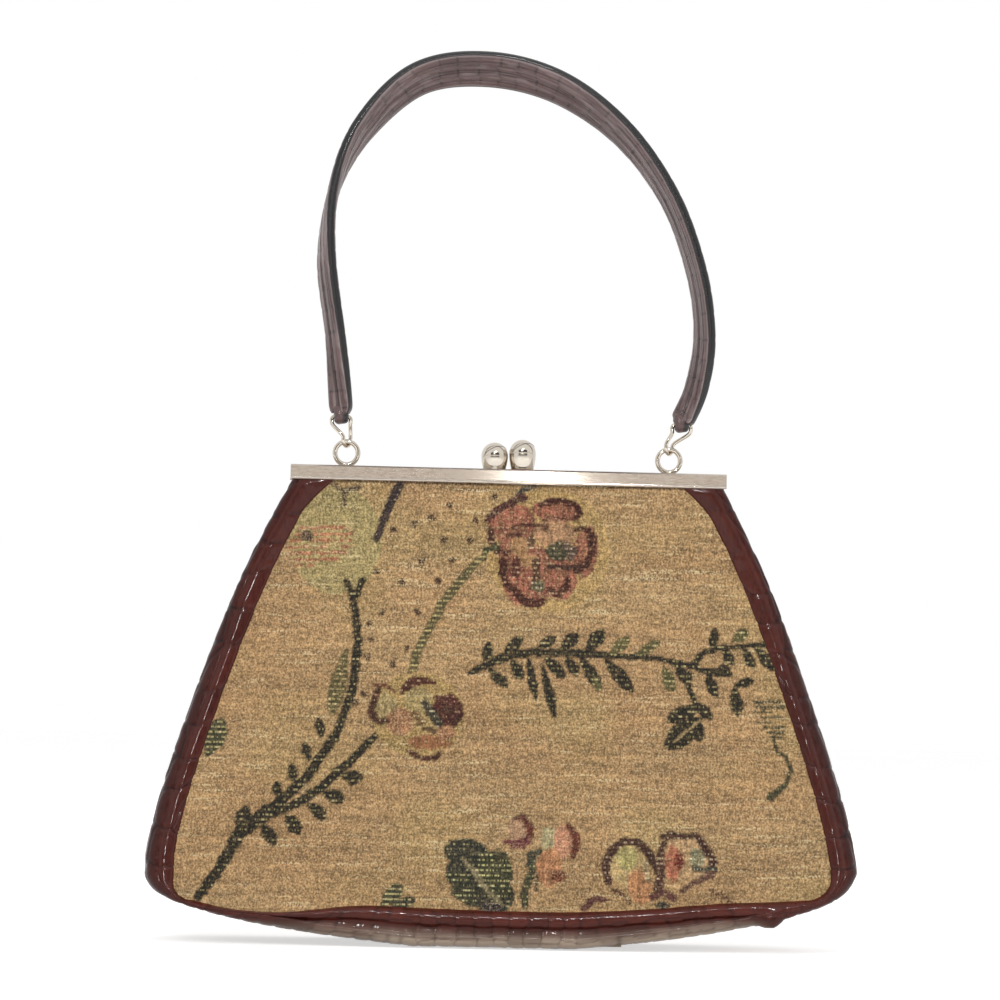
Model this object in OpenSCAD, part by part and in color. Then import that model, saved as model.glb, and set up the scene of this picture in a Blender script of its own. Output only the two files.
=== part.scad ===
// Kiss-lock handbag: a straight metal frame bar with two clasp balls, tapestry panels edged in
// embossed leather, a folding gusset on each side and a leather strap carried by two chain links.
// Millimetres, +Z up, the front faces -Y, and the bag stands on its base.

/* [Frame] */
// Width of the frame bar
frame_w = 180; // [165:1:195]
// Height of the bar's face
bar_h = 6; // [5:0.5:8]
// Depth of one frame half, front to back
bar_depth = 8.5; // [8:0.5:10]
// Thickness of the frame's sheet metal
sheet_t = 1; // [0.8:0.1:1.2]
// Diameter of the rolled lip along the bar's lower edge
lip_d = 1.4; // [1:0.1:1.8]
// Drop from the bar's top to the hinge axis
hinge_drop = 40; // [36:1:46]
// Width of a hinge arm
arm_w = 3.6; // [3:0.2:4]
// Thickness of a hinge arm
arm_t = 1.2; // [1:0.1:1.4]
// Diameter of the hinge rivets
rivet_d = 2.4; // [2:0.1:2.8]

/* [Clasp] */
// Diameter of a clasp ball
ball_d = 11; // [9:0.5:12]
// Diameter of the stem that carries a ball
stem_d = 3.2; // [2.6:0.2:3.6]
// How much higher the rear half's ball sits
ball_step = 1.4; // [0.5:0.1:2]

/* [Handle] */
// Distance between the two handle rings
ring_span = 134; // [120:1:145]
// Outer diameter of a handle ring
ring_d = 11; // [10:0.5:13]
// Wire diameter of a handle ring
ring_wire = 1.6; // [1.4:0.1:1.8]
// Outer length of a chain link
link_len = 14; // [13:0.5:18]
// Outer width of a chain link at its straight top
link_w = 9.6; // [9:0.1:11]
// Wire diameter of a chain link
link_wire = 1.7; // [1.5:0.1:1.9]
// Outward lean of the left link at its top
lean_left = 2.5; // [0:0.5:4]
// Outward lean of the right link at its top
lean_right = 5; // [0:0.5:6]
// Rise of the strap's centre line above the link tops
strap_rise = 144; // [120:1:170]
// Half width of the arch of the strap
strap_half = 78; // [72:1:85]
// Width of the strap
strap_w = 16; // [13:0.5:18]
// Width of the strap at its ends
strap_end_w = 10; // [9:0.5:12]
// Thickness of the strap
strap_t = 4.4; // [3.6:0.2:5]

/* [Body] */
// Height of the bar's top above the ground
bag_h = 196; // [180:1:215]
// Greatest width of the body
body_w = 292; // [270:1:310]
// Height at which the body is widest
widest_z = 35; // [28:1:42]
// Depth of the base, front to back
base_depth = 76; // [64:1:86]
// Width of the flat middle of the base
base_flat = 100; // [80:1:120]
// Height of the leather band along the foot of the panels
band_h = 16; // [14:0.5:20]
// Width of the leather strip along each side of a panel
strip_w = 12; // [10:0.5:15]
// Corner radius of a panel's lower corners
panel_r = 10; // [6:0.5:11]
// Outward swell of a panel at its middle
belly = 5; // [2:0.5:7]
// Depth of the gusset's inward fold at its top
fold_d = 33; // [24:1:38]

/* [Walls] */
// Thickness of a tapestry panel with its backing
panel_t = 1.8; // [1.4:0.1:2.2]
// Thickness of the leather
leather_t = 1.6; // [1.2:0.1:2]
// Thickness of the lining
lining_t = 0.6; // [0.5:0.1:0.8]
// Thickness of the stiffening board in the base
board_t = 1.5; // [1:0.1:2]

/* [Hidden] */
$fn = 48;

// Clearances: cut overrun, soft piece to its seat, metal press fit, metal running fit
cut = 1;
seat = 0.3;
press = 0.05;
running = 0.08;
// Gap between the two closed frame halves, and between the two balls
half_gap = 0.25;
ball_gap = 0.5;

// Frame heights
bar_low = bag_h - bar_h;
hinge_z = bag_h - hinge_drop;
chamfer = 0.6 * sheet_t;
lip_proud = 0.4;
inner_drop = 0.6 * bar_h;
weld = 0.2;

// Hinge arms: the front half's pair lies outside the rear half's pair
arm_inset = 4.2;
arm_gap = 0.4;
eye_r = 0.95 * arm_w;
arm_out_x = frame_w / 2 - arm_inset;
arm_in_x = arm_out_x - arm_t - arm_gap;
arm_y = half_gap + sheet_t + seat + arm_w / 2;
rivet_head_d = 1.9 * rivet_d;
rivet_head_t = 0.3 * rivet_d;

// Clasp
ball_x = (ball_d + ball_gap) / 2;
ball_rise = ball_d / 2 + seat;
stem_y = bar_depth / 2;
stem_foot = 1.2 * sheet_t;
stem_drop = stem_foot + 0.3 * stem_d;

// Rings and links
ring_y = bar_depth / 2;
ring_r = (ring_d - ring_wire) / 2;
ring_z = bag_h + ring_d / 2 + press;
ring_foot_d = 1.4 * ring_wire;
ring_foot = 1.4 * sheet_t;
swing_z = ring_z + ring_r;
link_play = 0.2;
link_twist = 55;
link_bend_r = 0.86 * (link_wire + ring_wire) - link_play;
link_corner_r = 0.85 * link_wire;
link_c = link_len - link_wire;
link_hook = link_wire + ring_wire;
link_half = (link_w - link_wire) / 2;
link_low_z = swing_z - (link_wire + ring_wire) / 2 - link_play;
link_rise = link_c - link_corner_r - link_bend_r;
eye_z = link_low_z + link_c;
eye_hole_d = link_wire + 4 * link_play;
eye_d = eye_hole_d + 0.62 * strap_t;
eye_w = link_w - 2 * link_wire - 2 * seat;
lean_rise = link_c - eye_d / 2 - link_hook;

// The strap's centre line between its two ends, as shares of its half width and of its rise,
// and its turn about that line: 0 shows the edge to the front, a negative turn the inner face
strap_shares = [
    [-0.93, 0.22], [-0.98, 0.46], [-0.94, 0.66], [-0.78, 0.82], [-0.50, 0.965], [-0.15, 1.00],
    [0.22, 0.955], [0.56, 0.83], [0.82, 0.65], [0.965, 0.44], [1.02, 0.26], [0.99, 0.11],
];
strap_turns = [90, 34, 14, -3, -30, -48, -54, -45, -28, -18, -17, -20, -48, -90];
strap_taper_share = 0.16;
strap_round_share = 0.6;
strap_steps = 60;
strap_sides = 12;

// Outline of the body seen from the front
top_half = frame_w / 2 - 1.5 * sheet_t;
half_w = body_w / 2;
flat_half = base_flat / 2;
side_pull_shares = [0.9, 0.29];
corner_pull_share = 0.23;
pull_x = top_half + side_pull_shares[0] * (half_w - top_half);
pull_z = widest_z + side_pull_shares[1] * (bar_low - widest_z);
corner_z = corner_pull_share * widest_z;
edge_r = 3.2 * leather_t;
edge_share = 0.45;
// Where the corner's stations meet the panel's side, its round corner and its foot
panel_corner_shares = [0.15, 0.45];
top_half_d = bar_depth - sheet_t - seat;
base_half_d = base_depth / 2;
flare_power = 1.2;
panel_top = bag_h - stem_drop - 2 * seat;
panel_gap = 1.4 * seat;
gusset_top = hinge_z - eye_r - 1.5 * seat - leather_t;
fold_low = widest_z;
seam_share = 0.5;
seam_gap_share = 0.0016;

// Lining
lining_gap = panel_t + seat;
throat = arm_in_x - arm_t - rivet_head_t - 2 * running - seat;
throat_flare = 1;
lift_share = 1.25;
bow_share = 0.65;
board_z = leather_t + seat;
lining_z = board_z + board_t + seat;

// Colours
NICKEL = [0.78, 0.74, 0.69];
LEATHER = [0.29, 0.14, 0.12];
STRAP = [0.36, 0.28, 0.27];
TAPESTRY = [0.69, 0.55, 0.37];
SATIN = [0.36, 0.25, 0.17];
BOARD = [0.30, 0.26, 0.22];

// Curves: a quadratic Bezier, its slope, and the place on it with a given falling height
function bez(a, b, c, t) = a * (1 - t) ^ 2 + 2 * b * t * (1 - t) + c * t ^ 2;
function slope(a, b, c, t) = 2 * (b - a) * (1 - t) + 2 * (c - b) * t;
function place(a, b, c, z) =
    2 * (a - z) / (2 * (a - b) + sqrt(max(0, 4 * (a - b) ^ 2 - 4 * (a - 2 * b + c) * (a - z))));
function ease(v) = let (k = min(1, max(0, v))) k * k * (3 - 2 * k);
function unit(v) = v / norm(v);
function spline(a, b, c, d, t) =
    0.5 * (2 * b + (c - a) * t + (2 * a - 5 * b + 4 * c - d) * t ^ 2 + (3 * b - a - 3 * c + d) * t ^ 3);
function along(list, s) =
    let (n = len(list) - 1, k = min(n - 1, floor(s * n)), t = s * n - k)
    spline(list[max(0, k - 1)], list[k], list[k + 1], list[min(n, k + 2)], t);

// Half width and half depth of the body at a height
function half_at(z) =
    z >= bar_low ? top_half
    : z >= widest_z ? bez(top_half, pull_x, half_w, place(bar_low, pull_z, widest_z, z))
    : bez(half_w, half_w, flat_half, place(widest_z, corner_z, 0, max(0, z)));
function depth_at(z) =
    top_half_d + (base_half_d - top_half_d) * (1 - min(hinge_z, z) / hinge_z) ^ flare_power;

// Half width of a tapestry panel at a height
function panel_half(z) =
    z >= band_h + panel_r ? half_at(max(z, widest_z)) - strip_w
    : half_w - strip_w - panel_r + sqrt(max(0, panel_r ^ 2 - (band_h + panel_r - z) ^ 2));

// Faces of a shell over a grid of ni rows of nj points: the outer points first, then the inner.
// Cells for which on(i, j) is false are left out, wrap closes the rows, and floored leaves the first
// row's edge to a floor.
function shell_faces(ni, nj, on, wrap = false, floored = false) =
    let (
        cols = wrap ? nj : nj - 1,
        o = function (i, j) i * nj + j % nj,
        q = function (i, j) ni * nj + i * nj + j % nj,
        has = function (i, j)
            i >= 0 && i < ni - 1 && (wrap || (j >= 0 && j < nj - 1)) && on(i, (j + nj) % nj),
        quads = [
            for (i = [0:ni - 2], j = [0:cols - 1]) if (on(i, j)) each [
                [o(i, j), o(i, j + 1), o(i + 1, j + 1), o(i + 1, j)],
                [q(i, j), q(i + 1, j), q(i + 1, j + 1), q(i, j + 1)],
                if (!has(i - 1, j) && !(floored && i == 0)) [o(i, j + 1), o(i, j), q(i, j), q(i, j + 1)],
                if (!has(i + 1, j)) [o(i + 1, j), o(i + 1, j + 1), q(i + 1, j + 1), q(i + 1, j)],
                if (!has(i, j - 1)) [o(i, j), o(i + 1, j), q(i + 1, j), q(i, j)],
                if (!has(i, j + 1)) [o(i + 1, j + 1), o(i, j + 1), q(i, j + 1), q(i + 1, j + 1)],
            ],
        ]
    )
    [for (f = quads) each halves(f)];
function halves(f) = [[f[0], f[1], f[2]], [f[0], f[2], f[3]]];

function flat_list(rows) = [for (r = rows) each r];

// A solid swept through rings of points, closed on itself or capped at both ends
module sweep(rings, closed = false) {
    n = len(rings);
    m = len(rings[0]);
    id = function (i, j) (i % n) * m + j % m;
    sides = [
        for (i = [0:closed ? n - 1 : n - 2], j = [0:m - 1]) each [
            [id(i, j), id(i + 1, j + 1), id(i, j + 1)],
            [id(i, j), id(i + 1, j), id(i + 1, j + 1)],
        ],
    ];
    caps = closed ? [] : [
        [for (j = [0:m - 1]) id(0, j)],
        [for (j = [m - 1:-1:0]) id(n - 1, j)],
    ];
    polyhedron(flat_list(rings), concat(sides, caps));
}

// Extrudes a profile drawn in Y and Z along X, centred on x
module across(x, width) {
    translate([x - width / 2, 0, 0]) rotate([90, 0, 90]) linear_extrude(width) children();
}

// A rod along X, centred on x
module rod(x, y, z, d, length) {
    translate([x - length / 2, y, z]) rotate([0, 90, 0]) cylinder(d = d, h = length);
}

// Outline station u on the right half: 0 to 1 down the side, 1 to 2 round the corner, 2 to 3 in
// along the flat base. Gives the edge point, its outward normal and the matching panel edge point.
function station(u) = u <= 1 ? side_station(u) : u <= 2 ? corner_station(u - 1) : flat_station(u - 2);
function normal_of(dx, dz) = unit([-dz, dx]);
function side_station(t) =
    let (x = bez(top_half, pull_x, half_w, t), z = bez(bar_low - seat, pull_z, widest_z, t))
    [[x, z], normal_of(slope(top_half, pull_x, half_w, t), slope(bar_low, pull_z, widest_z, t)),
        [x - strip_w, z]];
function corner_station(t) =
    [[bez(half_w, half_w, flat_half, t), bez(widest_z, corner_z, 0, t)],
        normal_of(slope(half_w, half_w, flat_half, t), slope(widest_z, corner_z, 0, t)),
        panel_corner(t)];
function flat_station(t) = [[flat_half * (1 - t), 0], [0, -1], [flat_half * (1 - t), band_h]];
function panel_corner(t) =
    let (a = panel_corner_shares[0], b = panel_corner_shares[1], x = half_w - strip_w,
        turn = 90 * (t - a) / (b - a))
    t < a ? [x, widest_z + (band_h + panel_r - widest_z) * t / a]
    : t < b ? [x - panel_r * (1 - cos(turn)), band_h + panel_r * (1 - sin(turn))]
    : [x - panel_r + (flat_half - x + panel_r) * (t - b) / (1 - b), band_h];

// Depth of the gusset's fold at a height
function fold_at(z) = fold_d * ease((z - fold_low) / (gusset_top - fold_low));

// One row of the leather ribbon at station u, from the front panel's edge round to the back's.
// depth is how far below the leather's outer face the row lies.
function ribbon_row(u, depth, side) =
    let (
        s = station(u), p = s[0], n = s[1], e = s[2],
        r = min(edge_r, edge_share * norm(p - e)),
        d = depth_at(p[1]),
        f = fold_at(p[1]),
        run = norm([f, d - r]),
        flank = [-(d - r), -f] / run,
        lip = unit([-1, 0] + flank),
        at = function (off, y, inward = 0) [side * (p[0] - inward + off * n[0]), y, p[1] + off * n[1]],
        front = [
            [side * e[0], -depth_at(e[1]) + depth, e[1]],
            at(-r, -depth_at(p[1] - r * n[1]) + depth),
            for (a = [30, 60])
                at(-r * (1 - sin(a)) - depth * sin(a), -d + r * (1 - cos(a)) + depth * cos(a)),
            at(depth * lip[0], -(d - r) + depth * lip[1]),
            at(depth * flank[0], -(d - r) / 2 + depth * flank[1], f / 2),
        ],
        back = [for (k = [len(front) - 1:-1:0]) [front[k][0], -front[k][1], front[k][2]]]
    )
    concat(front, [at(-depth, 0, f)], back);

// The ribbon between a list of stations, each [u, side]. Above the gusset's top only the strips run on.
module ribbon(stations) {
    outer = [for (s = stations) ribbon_row(s[0], 0, s[1])];
    inner = [for (s = stations) ribbon_row(s[0], leather_t, s[1])];
    ni = len(stations);
    nj = len(outer[0]);
    strip = 4;
    low = function (i) station(stations[i][0])[0][1] <= gusset_top + press;
    on = function (i, j) j < strip || j >= nj - 1 - strip || low(i);
    polyhedron(concat(flat_list(outer), flat_list(inner)), shell_faces(ni, nj, on));
}

// A tapestry panel: rows from its top to its foot, swelling out between its edges
function panel_swell(share, z) =
    belly * (1 - share ^ 2) * sin(180 * min(1, max(0, (z - band_h) / (bar_low - band_h))));
function panel_row(z, cols, depth) = [
    for (k = [0:cols])
        let (share = 2 * k / cols - 1, lift = panel_gap * max(0, 1 - (z - band_h) / panel_r))
        [share * (panel_half(z) - panel_gap), -depth_at(z) - panel_swell(share, z) + depth, z + lift]
];
module tapestry_panel() {
    cols = 14;
    rows = 11;
    foot_rows = 6;
    foot_top = band_h + panel_r;
    levels = [
        panel_top,
        for (k = [0:rows]) bar_low + (foot_top - bar_low) * k / rows,
        for (k = [1:foot_rows]) foot_top - panel_r * sin(90 * k / foot_rows),
    ];
    outer = [for (z = levels) panel_row(z, cols, 0)];
    inner = [for (z = levels) panel_row(z, cols, panel_t)];
    faces = shell_faces(len(levels), cols + 1, function (i, j) true);
    polyhedron(concat(flat_list(outer), flat_list(inner)), faces);
}

// One half of the frame, drawn as the front half: a folded channel bar with closed ends, a rolled
// lip, and an arm at each end that reaches down to the hinge axis
module frame_half(arm_x, ball_side, rise) {
    channel = [
        [-bar_depth, bar_low], [-bar_depth, bag_h - chamfer], [-bar_depth + chamfer, bag_h],
        [-half_gap, bag_h], [-half_gap, bag_h - inner_drop], [-half_gap - sheet_t, bag_h - inner_drop],
        [-half_gap - sheet_t, bag_h - sheet_t], [-bar_depth + sheet_t, bag_h - sheet_t],
        [-bar_depth + sheet_t, bar_low],
    ];
    end_cap = [
        [-bar_depth, bar_low], [-bar_depth, bag_h - chamfer], [-bar_depth + chamfer, bag_h],
        [-half_gap, bag_h], [-half_gap, bag_h - inner_drop],
    ];
    arm = [
        [-arm_y - arm_w / 2, bag_h - sheet_t + weld], [-arm_y + arm_w / 2, bag_h - sheet_t + weld],
        [arm_w / 2, hinge_z], [-arm_w / 2, hinge_z],
    ];
    difference() {
        union() {
            across(0, frame_w) polygon(channel);
            rod(0, -bar_depth + lip_d / 2 - lip_proud, bar_low + lip_d / 2, lip_d, frame_w);
            for (side = [-1, 1]) {
                across(side * (frame_w - sheet_t) / 2, sheet_t) polygon(end_cap);
                across(side * (arm_x - arm_t / 2), arm_t) polygon(arm);
                rod(side * (arm_x - arm_t / 2), 0, hinge_z, 2 * eye_r, arm_t);
            }
        }
        for (side = [-1, 1]) rod(side * arm_x, 0, hinge_z, rivet_d + 2 * running, 2 * arm_t + 2 * cut);
        translate([ball_side * ball_x, 0, 0]) on_neck(rise) translate([0, 0, -2 * sheet_t - cut])
            cylinder(d = stem_d + 2 * press, h = 4 * sheet_t + 2 * cut);
    }
}
module frame_front() {
    color(NICKEL) frame_half(arm_out_x, -1, ball_rise);
}
module frame_back() {
    color(NICKEL) difference() {
        mirror([0, 1, 0]) frame_half(arm_in_x, 1, ball_rise + ball_step);
        for (side = [-1, 1]) translate([side * ring_span / 2, ring_y, bag_h - sheet_t - cut])
            cylinder(d = ring_foot_d + 2 * press, h = sheet_t + 2 * cut);
    }
}

// A hinge rivet: a shank through both arms with a head at each end
module hinge_rivet(side) {
    inner = arm_in_x - arm_t - running;
    outer = arm_out_x + running;
    color(NICKEL) union() {
        rod(side * (inner + outer) / 2, 0, hinge_z, rivet_d, outer - inner);
        rod(side * (inner - rivet_head_t / 2), 0, hinge_z, rivet_head_d, rivet_head_t);
        rod(side * (outer + rivet_head_t / 2), 0, hinge_z, rivet_head_d, rivet_head_t);
    }
}
module hinge_rivet_left() {
    hinge_rivet(-1);
}
module hinge_rivet_right() {
    hinge_rivet(1);
}

// The clasp: a stem leans from its half's bar to the bag's middle and carries a ball on its end.
// Drawn as the front half's, with the ball's centre at a given rise above the bar's top.
function neck_len(rise) = norm([stem_y, rise]);
module on_neck(rise) {
    translate([0, -stem_y, bag_h]) rotate([-atan2(stem_y, rise), 0, 0]) children();
}
module clasp_stem(rise) {
    color(NICKEL) on_neck(rise) translate([0, 0, -stem_foot])
        cylinder(d = stem_d, h = neck_len(rise) + stem_foot);
}
module clasp_ball(rise) {
    color(NICKEL) on_neck(rise) rotate_extrude() difference() {
        intersection() {
            translate([0, neck_len(rise)]) circle(d = ball_d);
            translate([0, neck_len(rise) - ball_d / 2]) square([ball_d / 2, ball_d]);
        }
        square([stem_d / 2 + press, neck_len(rise) + press]);
    }
}
module clasp_stem_front() {
    translate([-ball_x, 0, 0]) clasp_stem(ball_rise);
}
module clasp_ball_front() {
    translate([-ball_x, 0, 0]) clasp_ball(ball_rise);
}
module clasp_stem_back() {
    translate([ball_x, 0, 0]) mirror([0, 1, 0]) clasp_stem(ball_rise + ball_step);
}
module clasp_ball_back() {
    translate([ball_x, 0, 0]) mirror([0, 1, 0]) clasp_ball(ball_rise + ball_step);
}

// A handle ring standing on the rear half's bar, with a foot riveted through its top
module handle_ring(side) {
    color(NICKEL) translate([side * ring_span / 2, ring_y, 0]) union() {
        translate([0, 0, ring_z]) rotate([90, 0, 0])
            rotate_extrude() translate([ring_r, 0]) circle(d = ring_wire);
        translate([0, 0, bag_h - ring_foot]) cylinder(d = ring_foot_d, h = ring_foot + ring_wire);
    }
}
module handle_ring_left() {
    handle_ring(-1);
}
module handle_ring_right() {
    handle_ring(1);
}

// A chain link: a round foot that hooks the ring, a straight top for the strap's loop and a twist
// between them. Its path is drawn as half width and height, then turned about its own axis.
function link_leg(share) = link_bend_r + (link_half - link_bend_r) * ease(share);
link_path = [
    for (a = [0:-15:-180]) [link_bend_r * cos(a), link_bend_r * (1 + sin(a))],
    for (k = [1:4]) [-link_leg(k / 5), link_bend_r + k / 5 * link_rise],
    for (a = [180:-30:90]) [-link_half + link_corner_r * (1 + cos(a)), link_c - link_corner_r * (1 - sin(a))],
    [0, link_c],
    for (a = [90:-30:0]) [link_half - link_corner_r * (1 - cos(a)), link_c - link_corner_r * (1 - sin(a))],
    for (k = [4:-1:1]) [link_leg(k / 5), link_bend_r + k / 5 * link_rise],
];
function link_turn(z) = link_twist * (1 - ease((z - link_hook) / (link_c - link_corner_r - link_hook)));
function link_point(k, lean) =
    let (n = len(link_path), p = link_path[(k + n) % n], a = link_turn(p[1]))
    [p[0] * cos(a) + lean * ease((p[1] - link_hook) / lean_rise), p[0] * sin(a), p[1]];
module chain_link(side, lean) {
    n = len(link_path);
    sides = 10;
    rings = [
        for (k = [0:n - 1])
            let (
                c = link_point(k, side * lean),
                t = unit(link_point(k + 1, side * lean) - link_point(k - 1, side * lean)),
                a = link_turn(link_path[k][1]),
                m = [-sin(a), cos(a), 0],
                u = unit(m - (m * t) * t),
                v = cross(t, u)
            )
            [
                for (j = [0:sides - 1])
                    let (g = 360 * j / sides)
                    c + link_wire / 2 * (cos(g) * u + sin(g) * v)
            ]
    ];
    color(NICKEL) translate([side * ring_span / 2, ring_y, link_low_z]) sweep(rings, true);
}
module chain_link_left() {
    chain_link(-1, lean_left);
}
module chain_link_right() {
    chain_link(1, lean_right);
}

// The strap: a soft flat section carried along its arch, turned as it goes, with a loop at each end
strap_left_x = -ring_span / 2 - lean_left;
strap_right_x = ring_span / 2 + lean_right;
strap_start = eye_z + eye_d / 2;
strap_line = concat(
    [[strap_left_x, strap_start]],
    [for (p = strap_shares) [p[0] * strap_half, eye_z + p[1] * strap_rise]],
    [[strap_right_x, strap_start]]
);
function strap_width(s) = strap_end_w + (strap_w - strap_end_w) * ease(min(s, 1 - s) / strap_taper_share);
function rounded(v) = sign(v) * abs(v) ^ strap_round_share;
module handle_strap() {
    rings = [
        for (k = [0:strap_steps])
            let (
                s = k / strap_steps,
                c = along(strap_line, s),
                ahead = along(strap_line, min(1, s + 0.5 / strap_steps)),
                behind = along(strap_line, max(0, s - 0.5 / strap_steps)),
                t = k == 0 ? [0, 1] : k == strap_steps ? [0, -1] : unit(ahead - behind),
                a = along(strap_turns, s),
                across_dir = [-sin(a) * t[1], cos(a), sin(a) * t[0]],
                face_dir = [-cos(a) * t[1], -sin(a), cos(a) * t[0]]
            )
            [
                for (j = [0:strap_sides - 1])
                    let (g = 360 * j / strap_sides)
                    [c[0], ring_y, c[1]] + strap_width(s) / 2 * rounded(cos(g)) * across_dir
                        + strap_t / 2 * rounded(sin(g)) * face_dir
            ]
    ];
    color(STRAP) difference() {
        union() {
            sweep(rings);
            for (x = [strap_left_x, strap_right_x]) {
                rod(x, ring_y, eye_z, eye_d, eye_w);
                across(x, eye_w) translate([ring_y - eye_d / 2, eye_z]) square([eye_d, eye_d / 2 + weld]);
            }
        }
        for (x = [strap_left_x, strap_right_x]) rod(x, ring_y, eye_z, eye_hole_d, eye_w + 2 * cut);
    }
}

module front_panel() {
    color(TAPESTRY) tapestry_panel();
}
module back_panel() {
    color(TAPESTRY) mirror([0, 1, 0]) tapestry_panel();
}

// A side gusset with its strips, from the frame bar down and round the lower corner to the base
side_steps = 12;
corner_steps = 8;
gusset_u = place(bar_low - seat, pull_z, widest_z, gusset_top);
gusset_stations = [
    for (k = [0:4]) [gusset_u * k / 4, 1],
    for (k = [1:side_steps]) [gusset_u + (1 - gusset_u) * k / side_steps, 1],
    for (k = [1:corner_steps]) [1 + (seam_share - seam_gap_share) * k / corner_steps, 1],
];
module gusset_right() {
    color(LEATHER) ribbon(gusset_stations);
}
module gusset_left() {
    color(LEATHER) mirror([1, 0, 0]) ribbon(gusset_stations);
}

// The base: the same ribbon carried on under the bag from one corner to the other
base_steps = 6;
base_start = 1 + seam_share + seam_gap_share;
base_half = [for (k = [0:base_steps]) base_start + (2 - base_start) * k / base_steps];
base_stations = concat(
    [for (u = base_half) [u, 1]],
    [for (k = [len(base_half) - 1:-1:0]) [base_half[k], -1]]
);
module base_panel() {
    color(LEATHER) ribbon(base_stations);
}

// A stiff board lying on the flat of the base
module base_board() {
    w = base_flat - 2 * leather_t;
    d = 2 * (base_half_d - edge_r);
    color(BOARD) translate([-w / 2, -d / 2, board_z]) cube([w, d, board_t]);
}

// The lining: a thin pouch that follows the walls, its sides open above the gussets
function lining_half(z, depth) =
    min(half_at(z < widest_z ? z - lift_share * (leather_t + seat + depth) : z) - edge_r - seat - depth,
        throat - depth + throat_flare * max(0, gusset_top - z));
function lining_row(z, depth, cols) =
    let (
        w = lining_half(z, depth),
        d = depth_at(z) - lining_gap - depth,
        f = max(-2 * lining_t, w - (half_at(z) - fold_at(z) - edge_r - depth)),
        front = [for (k = [0:cols]) [w * (1 - 2 * k / cols), -d, z]],
        left = [[-w + bow_share * f, -d / 2, z], [-w + f, 0, z], [-w + bow_share * f, d / 2, z]]
    )
    concat(front, left, [for (p = front) [-p[0], -p[1], z]], [for (p = left) [-p[0], -p[1], z]]);
// Faces of the pouch's flat floor: strips from front to back and a rounded end at each side
function floor_faces(cols, nj) =
    let (half = nj / 2, far = half + cols)
    [
        for (k = [0:cols - 1]) each halves([k + 1, k, far - k, far - k - 1]),
        for (a = [cols, far])
            let (b = (a + 4) % nj)
            each [[a, b, a + 2], [b, a + 3, a + 2], [a, a + 2, a + 1]],
    ];
module lining() {
    cols = 6;
    low_rows = 5;
    high_rows = 8;
    mouth_rows = 3;
    levels = [
        for (k = [0:low_rows]) lining_z + (widest_z - lining_z) * (k / low_rows) ^ 2,
        for (k = [1:high_rows]) widest_z + (gusset_top - widest_z) * k / high_rows,
        for (k = [1:mouth_rows]) gusset_top + (bar_low - gusset_top) * k / mouth_rows,
        panel_top,
    ];
    outer = [for (k = [0:len(levels) - 1]) lining_row(levels[k], 0, cols)];
    inner = [for (k = [0:len(levels) - 1]) lining_row(levels[k] + (k == 0 ? lining_t : 0), lining_t, cols)];
    ni = len(levels);
    nj = len(outer[0]);
    half = nj / 2;
    on = function (i, j) levels[i + 1] <= gusset_top + press || j % half < cols;
    color(SATIN) polyhedron(
        concat(flat_list(outer), flat_list(inner)),
        concat(
            shell_faces(ni, nj, on, wrap = true, floored = true),
            floor_faces(cols, nj),
            [for (f = floor_faces(cols, nj)) [for (k = [2, 1, 0]) f[k] + ni * nj]]
        )
    );
}

frame_front();
frame_back();
hinge_rivet_left();
hinge_rivet_right();
clasp_stem_front();
clasp_ball_front();
clasp_stem_back();
clasp_ball_back();
handle_ring_left();
handle_ring_right();
chain_link_left();
chain_link_right();
handle_strap();
front_panel();
back_panel();
gusset_left();
gusset_right();
base_panel();
base_board();
lining();
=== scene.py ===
import math

import bmesh
import bpy
import numpy as np
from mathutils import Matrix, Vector

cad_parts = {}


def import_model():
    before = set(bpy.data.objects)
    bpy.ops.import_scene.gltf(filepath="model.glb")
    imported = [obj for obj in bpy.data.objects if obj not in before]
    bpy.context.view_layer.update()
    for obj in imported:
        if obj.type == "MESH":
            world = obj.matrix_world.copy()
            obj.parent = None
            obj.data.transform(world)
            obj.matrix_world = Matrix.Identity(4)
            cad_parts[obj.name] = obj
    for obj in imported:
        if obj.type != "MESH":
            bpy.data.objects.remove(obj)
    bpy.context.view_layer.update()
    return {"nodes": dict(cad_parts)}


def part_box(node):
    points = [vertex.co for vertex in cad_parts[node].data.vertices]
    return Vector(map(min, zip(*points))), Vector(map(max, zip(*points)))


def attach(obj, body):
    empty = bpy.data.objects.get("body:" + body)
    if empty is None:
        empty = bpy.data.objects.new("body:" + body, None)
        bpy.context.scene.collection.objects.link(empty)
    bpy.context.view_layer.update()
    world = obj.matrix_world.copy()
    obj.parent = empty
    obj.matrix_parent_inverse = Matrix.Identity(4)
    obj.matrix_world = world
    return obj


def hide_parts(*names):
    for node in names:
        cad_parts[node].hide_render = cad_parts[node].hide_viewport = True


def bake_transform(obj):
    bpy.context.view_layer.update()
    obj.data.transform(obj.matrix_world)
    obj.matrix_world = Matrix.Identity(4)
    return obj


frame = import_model()
nodes = frame["nodes"]
MM = 0.001

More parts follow.
